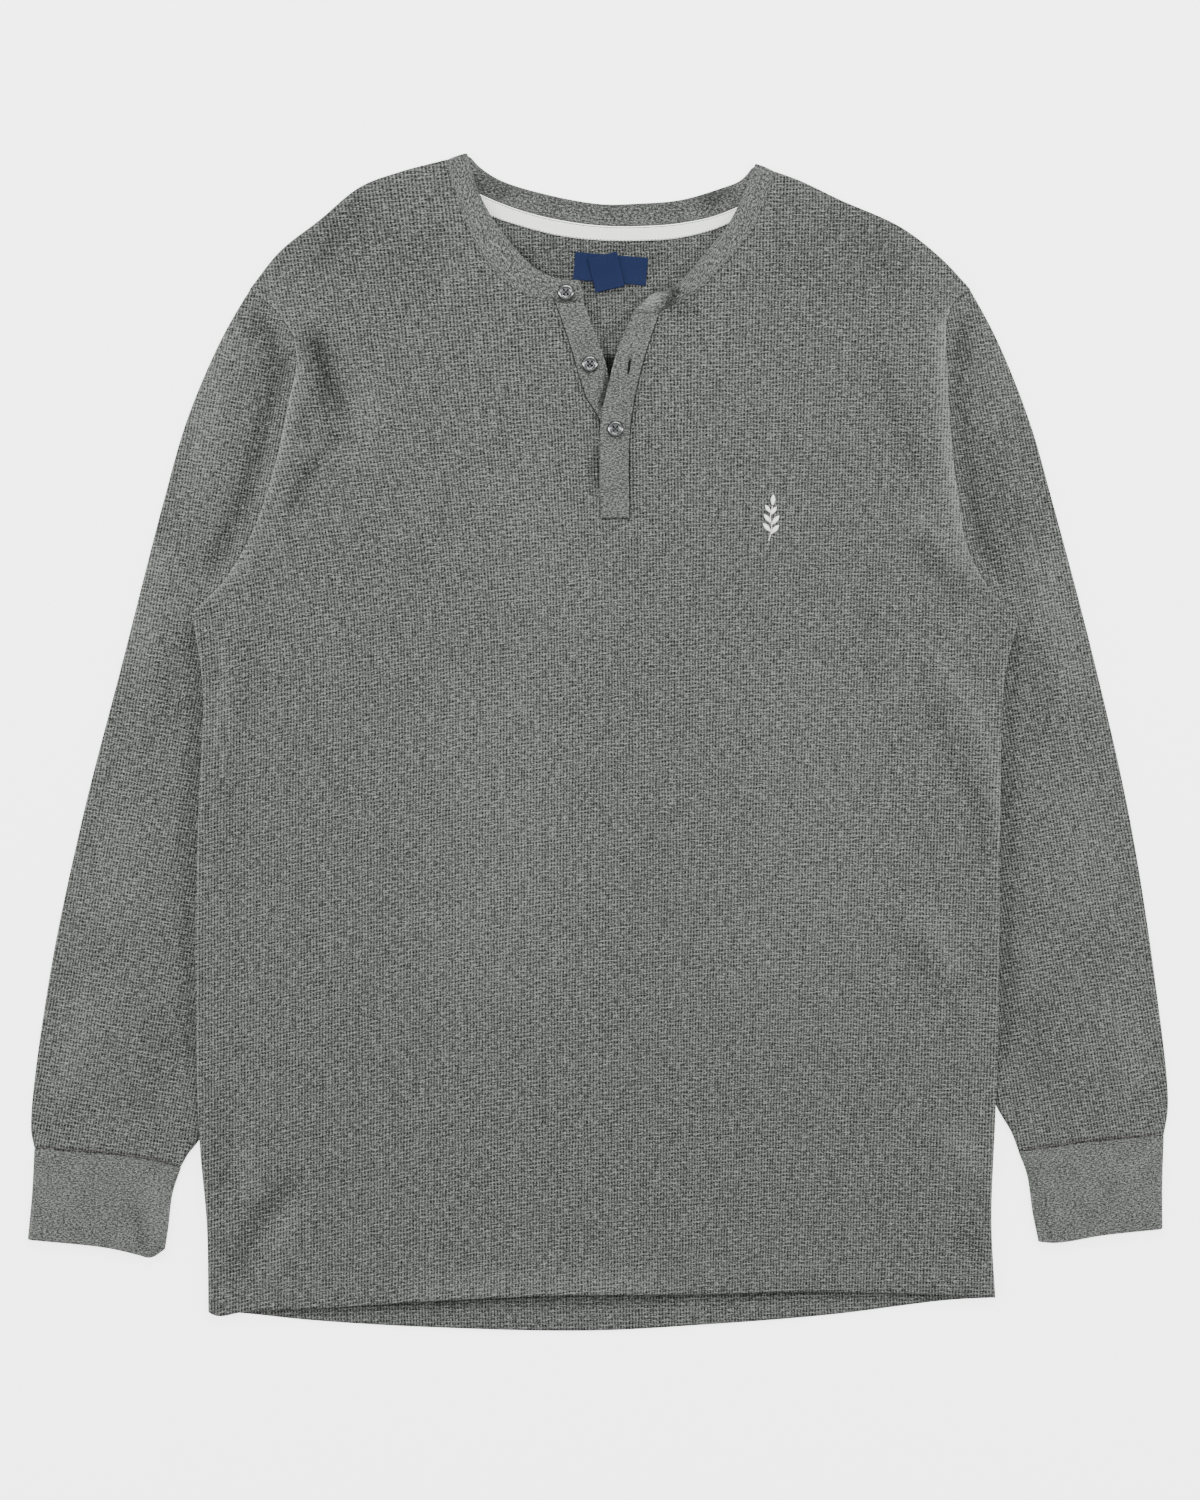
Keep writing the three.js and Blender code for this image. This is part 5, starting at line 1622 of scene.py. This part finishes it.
class StitchNodes:
    """Geometry Nodes that put one thread stitch on each edge of a mesh."""

    group: bpy.types.NodeTree | None = None

    @classmethod
    def get(cls) -> bpy.types.NodeTree:
        """The node group, made at its first use."""
        if cls.group is None:
            cls.group = cls.make()
        return cls.group

    @staticmethod
    def make() -> bpy.types.NodeTree:
        """Makes the group: edges become points, and each point gets a slim spindle along its edge."""
        group = bpy.data.node_groups.new("stitches", "GeometryNodeTree")
        for label, kind in (
            ("Edges", "NodeSocketGeometry"), ("Thickness", "NodeSocketFloat"),
            ("Unevenness", "NodeSocketFloat"), ("Seed", "NodeSocketInt"), ("Thread", "NodeSocketMaterial"),
        ):
            group.interface.new_socket(label, in_out="INPUT", socket_type=kind)
        group.interface.new_socket("Stitches", in_out="OUTPUT", socket_type="NodeSocketGeometry")
        make, link = group.nodes.new, group.links.new
        source, target = make("NodeGroupInput"), make("NodeGroupOutput")
        ends = make("GeometryNodeInputMeshEdgeVertices")
        span = make("ShaderNodeVectorMath")
        span.operation = "SUBTRACT"
        link(ends.outputs["Position 2"], span.inputs[0])
        link(ends.outputs["Position 1"], span.inputs[1])
        length = make("ShaderNodeVectorMath")
        length.operation = "LENGTH"
        link(span.outputs[0], length.inputs[0])
        capture = make("GeometryNodeCaptureAttribute")
        capture.domain = "EDGE"
        capture.capture_items.new("VECTOR", "Span")
        capture.capture_items.new("FLOAT", "Length")
        link(source.outputs["Edges"], capture.inputs["Geometry"])
        link(span.outputs[0], capture.inputs["Span"])
        link(length.outputs["Value"], capture.inputs["Length"])
        points = make("GeometryNodeMeshToPoints")
        points.mode = "EDGES"
        link(capture.outputs["Geometry"], points.inputs["Mesh"])
        spindle = make("GeometryNodeMeshUVSphere")
        spindle.inputs["Segments"].default_value = 6
        spindle.inputs["Rings"].default_value = 5
        spindle.inputs["Radius"].default_value = 0.5
        turn = make("FunctionNodeAlignRotationToVector")
        turn.axis = "X"
        link(capture.outputs["Span"], turn.inputs["Vector"])
        chance = make("FunctionNodeRandomValue")
        chance.data_type = "FLOAT"
        less, more = make("ShaderNodeMath"), make("ShaderNodeMath")
        less.operation, more.operation = "SUBTRACT", "ADD"
        for node, socket in ((less, "Min"), (more, "Max")):
            node.inputs[0].default_value = 1.0
            link(source.outputs["Unevenness"], node.inputs[1])
            limits = [item for item in chance.inputs if item.name == socket and item.type == "VALUE"]
            link(node.outputs[0], limits[0])
        link(source.outputs["Seed"], chance.inputs["Seed"])
        thick = make("ShaderNodeMath")
        thick.operation = "MULTIPLY"
        link(source.outputs["Thickness"], thick.inputs[0])
        link(next(item for item in chance.outputs if item.type == "VALUE"), thick.inputs[1])
        scale = make("ShaderNodeCombineXYZ")
        link(capture.outputs["Length"], scale.inputs["X"])
        link(thick.outputs[0], scale.inputs["Y"])
        link(thick.outputs[0], scale.inputs["Z"])
        place = make("GeometryNodeInstanceOnPoints")
        link(points.outputs["Points"], place.inputs["Points"])
        link(spindle.outputs["Mesh"], place.inputs["Instance"])
        link(turn.outputs["Rotation"], place.inputs["Rotation"])
        link(scale.outputs["Vector"], place.inputs["Scale"])
        real = make("GeometryNodeRealizeInstances")
        link(place.outputs["Instances"], real.inputs["Geometry"])
        colour = make("GeometryNodeSetMaterial")
        link(real.outputs["Geometry"], colour.inputs["Geometry"])
        link(source.outputs["Thread"], colour.inputs["Material"])
        link(colour.outputs["Geometry"], target.inputs["Stitches"])
        return group


Span3 = tuple[tuple[float, float, float], tuple[float, float, float]]


def sewn(name: str, spans: Sequence[Span3], thickness: float, material: bpy.types.Material,
         unevenness: float = 0.15, seed: int = 7) -> bpy.types.Object:
    """Thread stitches, one along each span.

    Args:
        name: Name of the object.
        spans: Both ends of each stitch in millimetres.
        thickness: Thickness of the thread.
        material: Its material.
        unevenness: How much the thickness varies.
        seed: Seed of that variation.

    Returns:
        A plain mesh object.
    """
    ends = np.array(spans, dtype=float).reshape(-1, 3) * MM
    mesh = bpy.data.meshes.new(name)
    mesh.from_pydata(ends.tolist(), [(k, k + 1) for k in range(0, len(ends), 2)], [])
    source = bpy.data.objects.new(f"{name}_edges", mesh)
    bpy.context.collection.objects.link(source)
    group = StitchNodes.get()
    modifier = source.modifiers.new("stitches", "NODES")
    modifier.node_group = group
    values = {"Thickness": thickness * MM, "Unevenness": unevenness, "Seed": seed, "Thread": material}
    for item in group.interface.items_tree:
        if item.in_out == "INPUT" and item.name in values:
            modifier[item.identifier] = values[item.name]
    result = baked(source, name)
    result.data.shade_smooth()
    return result


@dataclass(frozen=True)
class StitchRun:
    """A row of machine stitches along a line on the cloth."""

    line: Array
    height: Height
    pitch: float = 3.0
    share: float = 0.78
    sunk: float = 0.05

    def spans(self) -> list[Span3]:
        """Both ends of each stitch."""
        length = line_length(self.line)
        count = max(1, int(length / self.pitch))
        starts = (np.arange(count) + (1 - self.share) / 2) / count
        ends = starts + self.share / count
        a, b = along(self.line, starts), along(self.line, ends)
        za, zb = self.height(a) - self.sunk, self.height(b) - self.sunk
        return [((*p, float(u)), (*q, float(w))) for p, u, q, w in zip(a, za, b, zb)]


@dataclass(frozen=True)
class Sewing:
    """Seam threads, the buttonhole and the small sprig on the chest."""

    materials: Materials
    armhole_rows: tuple[float, ...] = (2.0, 5.2)
    hem_rows: tuple[tuple[float, float], ...] = ((15.2, 0.6), (18.4, 0.1))
    seam_pitch: float = 3.2

    def seams(self) -> Piece:
        """Stitch rows along both armholes and the front's hem in the colour of the cloth."""
        spans: list[Span3] = []
        for side in Side:
            armhole = curve_at(EDGE["armhole"][side], np.linspace(0.04, 1.0, 300))
            for distance in self.armhole_rows:
                line = offset_line(armhole, distance * side.sign)
                spans += StitchRun(line, FORM.front_top, self.seam_pitch).spans()
        left, right = (smooth_curve(EDGE["front_hem"][side]) for side in Side)
        hem = along(np.vstack([left, right]), np.linspace(0.01, 0.99, 400))
        for distance, rise in self.hem_rows:
            row = StitchRun(hem + [0.0, distance], FORM.front_top, self.seam_pitch, 0.7, -rise)
            spans += row.spans()
        thread = sewn("seam_stitches", spans, 0.5, self.materials.seam_thread)
        return Piece(thread, Slot.TRIM)

    def topstitches(self) -> Piece:
        """Darker rows beside the plackets and the neckband, drawn thick enough to show."""
        spans: list[Span3] = []
        for side in Side:
            slit = curve_at(EDGE["slit"][side], np.linspace(0.02, 1.0, 200))
            neck = curve_at(EDGE["band_seam"][side][1:], np.linspace(0.0, 0.97, 200))
            spans += StitchRun(offset_line(slit, -2.2 * side.sign), FORM.front_top, 3.0, 0.9).spans()
            spans += StitchRun(offset_line(neck, -1.6 * side.sign), FORM.front_top, 3.0, 0.85).spans()
        thread = sewn("neck_topstitches", spans, 0.6, self.materials.topstitch)
        return Piece(thread, Slot.TRIM)

    def cuff_stitches(self, sleeves: Sequence[Sleeve]) -> list[Piece]:
        """A brown row on each cuff seam and a lighter one above it."""
        pieces = []
        for name, rise, thread in (
            ("cuff_seam_stitches", 1.4, self.materials.brown_thread),
            ("cuff_cover_stitches", 4.6, self.materials.seam_thread),
        ):
            spans: list[Span3] = []
            for sleeve in sleeves:
                line = curve_at(EDGE["cuff_seam"][sleeve.side], np.linspace(0.05, 0.95, 120)) + [0.0, rise]
                spans += StitchRun(line, sleeve.top, 2.6, 0.85, 0.0).spans()
            pieces.append(Piece(sewn(name, spans, 0.55, thread), Slot.TRIM))
        return pieces

    def tape_stitches(self) -> Piece:
        """Brown rows along both edges of the white tape."""
        upper = curve_at(BAND_SEAM_BACK, np.linspace(0.07, 0.93, 300)) - [0.0, 0.5]
        lower = curve_at(TAPE_FOOT, np.linspace(0.06, 0.94, 300)) + [0.0, 0.5]
        top = BODY_WALL + SEAM_GAP + TAPE_WALL

        def height(points: Array) -> Array:
            """Upper face of the tape."""
            return np.full(len(points), top)

        spans = [span for line in (upper, lower) for span in StitchRun(line, height, 2.4, 0.9, 0.1).spans()]
        return Piece(sewn("tape_stitches", spans, 0.5, self.materials.brown_thread), Slot.TRIM)

    def buttonhole(self, height: Height) -> Piece:
        """The buttonhole in the over placket: a dark slit with close stitches on both sides."""
        top, foot = np.array([22.4, 266.3]), np.array([21.2, 257.3])
        line = np.linspace(top, foot, 30)
        spans: list[Span3] = []
        for distance in (-0.8, 0.8):
            inner_line = offset_line(line, math.copysign(0.25, distance))
            for point, outer in zip(inner_line, offset_line(line, distance)):
                z = float(height(point[None])[0]) + 0.1
                spans.append(((*point, z), (*outer, z)))
        thread = sewn("buttonhole_stitches", spans, 0.3, self.materials.seam_thread)
        return Piece(thread, Slot.TRIM)

    def buttonhole_slit(self, height: Height) -> Piece:
        """Painted shade of the buttonhole's opening: thick dark thread strips along the slit."""
        spans: list[Span3] = []
        for shift in (-0.5, 0.0, 0.5):
            ends = np.array([[22.7 + shift, 268.2], [20.9 + shift, 255.4]])
            z = height(ends)
            spans.append(((*ends[0], float(z[0])), (*ends[1], float(z[1]))))
        return Piece(sewn("buttonhole_slit", spans, 1.0, self.materials.dark_thread, 0.0), Slot.TRIM)

    def sprig(self) -> Piece:
        """A generic leaf sprig in white satin stitch on the chest."""
        spans: list[Span3] = []
        middle = np.array([120.8, 153.6])
        stem = smooth_curve([(-1.5, -13.5), (0.5, -5.0), (-0.3, 4.0), (1.2, 11.0)])
        leaves = (
            (0.20, 48.0, 8.6), (0.26, 132.0, 8.2), (0.46, 50.0, 8.4), (0.52, 130.0, 7.8),
            (0.74, 54.0, 7.2), (0.80, 126.0, 6.8), (1.0, 86.0, 8.0),
        )

        def add(start: Array, end: Array) -> None:
            """Adds one stitch between two places of the sprig."""
            ends = np.array([start, end]) + middle
            z = FORM.front_top(ends) + 0.15
            spans.append(((*ends[0], float(z[0])), (*ends[1], float(z[1]))))

        for start, end in zip(stem[:-1:4], stem[4::4]):
            add(start, end)
        for share, degrees, length in leaves:
            root = along(stem, np.array([share]))[0]
            angle = math.radians(degrees)
            axis = np.array([math.cos(angle), math.sin(angle)])
            side = np.array([-axis[1], axis[0]])
            for step in np.linspace(0.08, 0.96, 14):
                half = 0.23 * length * math.sin(math.pi * step ** 0.8)
                centre = root + axis * (length * step)
                lean = axis * half * 0.5
                add(centre - side * half + lean, centre + side * half + lean)
        thread = sewn("chest_sprig", spans, 0.75, self.materials.white_thread, 0.1)
        return Piece(thread, Slot.TAPE)


@dataclass(frozen=True)
class Studio:
    """Pale floor, soft light and a camera straight above."""

    floor_colour: str = "#e4e4e4"
    glow: float = 2.9
    distance: float = 2.48
    lens: float = 85.0
    floor_reach: float = 20.0

    def paper(self) -> bpy.types.Material:
        """White paper that is lit from behind as well, so that it stays even and pale."""
        paint = Paint("white_paper_floor", 0.9)
        paint.surface.inputs["Emission Color"].default_value = (1.0, 1.0, 1.0, 1.0)
        paint.surface.inputs["Emission Strength"].default_value = self.glow
        return paint.finish(linear(self.floor_colour))

    def build(self) -> None:
        """Makes the stage."""
        mesh = bpy.data.meshes.new("floor")
        reach = self.floor_reach
        mesh.from_pydata([(-reach, -reach, 0), (reach, -reach, 0), (reach, reach, 0), (-reach, reach, 0)],
                         [], [(0, 1, 2, 3)])
        mesh.materials.append(self.paper())
        floor = bpy.data.objects.new("floor", mesh)
        bpy.context.collection.objects.link(floor)
        world = bpy.data.worlds.new("studio")
        world.use_nodes = True
        world.node_tree.nodes["Background"].inputs["Color"].default_value = (1.0, 1.0, 1.0, 1.0)
        world.node_tree.nodes["Background"].inputs["Strength"].default_value = 0.6
        bpy.context.scene.world = world
        self.light("top_box", (0.2, 2.1, 1.6), (1.8, 0.8), 72.0)
        self.light("left_box", (-1.9, 0.3, 1.0), (0.7, 3.2), 88.0)
        self.light("right_box", (1.9, 0.1, 1.0), (0.7, 2.6), 62.0)
        camera = bpy.data.cameras.new("camera")
        camera.lens = self.lens
        camera.sensor_width = 36.0
        camera.clip_start, camera.clip_end = 0.1, 100.0
        view = bpy.data.objects.new("camera", camera)
        view.location = (0.0014, -0.00595, self.distance)
        bpy.context.collection.objects.link(view)
        bpy.context.scene.camera = view

    def light(self, name: str, place: tuple[float, float, float], size: Point, power: float) -> None:
        """Adds a soft box that points at the middle of the top."""
        data = bpy.data.lights.new(name, "AREA")
        data.shape = "RECTANGLE"
        data.size, data.size_y = size
        data.energy = power
        lamp = bpy.data.objects.new(name, data)
        lamp.location = place
        lamp.rotation_mode = "QUATERNION"
        lamp.rotation_quaternion = (-Vector(place)).to_track_quat("-Z", "Y")
        bpy.context.collection.objects.link(lamp)


def build_pieces() -> list[Piece]:
    """Builds the top's pieces in order, from the surface upwards."""
    materials = Materials.make()
    body = Body(materials)
    neck = Neck(materials)
    sewing = Sewing(materials)
    pieces: list[Piece] = []
    sleeves = [Sleeve(Side.LEFT, materials, cloth_area=0.14), Sleeve(Side.RIGHT, materials, cloth_area=0.124)]
    for sleeve in sleeves:
        pieces += [sleeve.sleeve(), sleeve.cuff()]
    pieces += [body.back(), neck.tape()]
    base = BODY_WALL + SEAM_GAP
    label = Label("main_label", (8.8, 330.7), (51.0, 19.6), -0.082, base, LABEL_WALL, 0.5)
    tab = Label("size_tab", (5.8, 328.2), (21.0, 25.0), 0.22, base + LABEL_WALL + 0.3, TAB_WALL, 0.9)
    pieces += [label.build(materials.label), tab.build(materials.tab)]
    pieces += [body.front(), neck.placket(False), neck.placket(True), neck.band()]
    under, over = neck.placket_height(False), neck.placket_height(True)
    places = ((-22.4, 313.5), (-5.6, 263.5), (12.2, 218.0))
    free, seam = neck.front_stations(Side.LEFT)
    bases = (
        float((free[:14, 2].mean() + seam[:14, 2].mean()) / 2) + BAND_WALL * 0.61,
        float(under(np.array([places[1]]))[0]),
        float(over(np.array([places[2]]))[0]),
    )
    tilts = ((0.05, -0.03), (-0.02, 0.02), (0.06, 0.02))
    for index, (place, height, tilt) in enumerate(zip(places, bases, tilts), start=1):
        pieces += Button(f"button_{index}", place, height + 0.25, tilt).build(materials)
    pieces += [sewing.seams(), sewing.topstitches(), sewing.tape_stitches(), *sewing.cuff_stitches(sleeves)]
    pieces += [sewing.buttonhole(over), sewing.buttonhole_slit(over), sewing.sprig()]
    return pieces


def main() -> None:
    """Builds and dresses the whole scene."""
    logging.basicConfig(level=logging.INFO, format="%(name)s %(message)s")
    Studio().build()
    for piece in build_pieces():
        piece.declare()


if __name__ == "__main__":
    main()
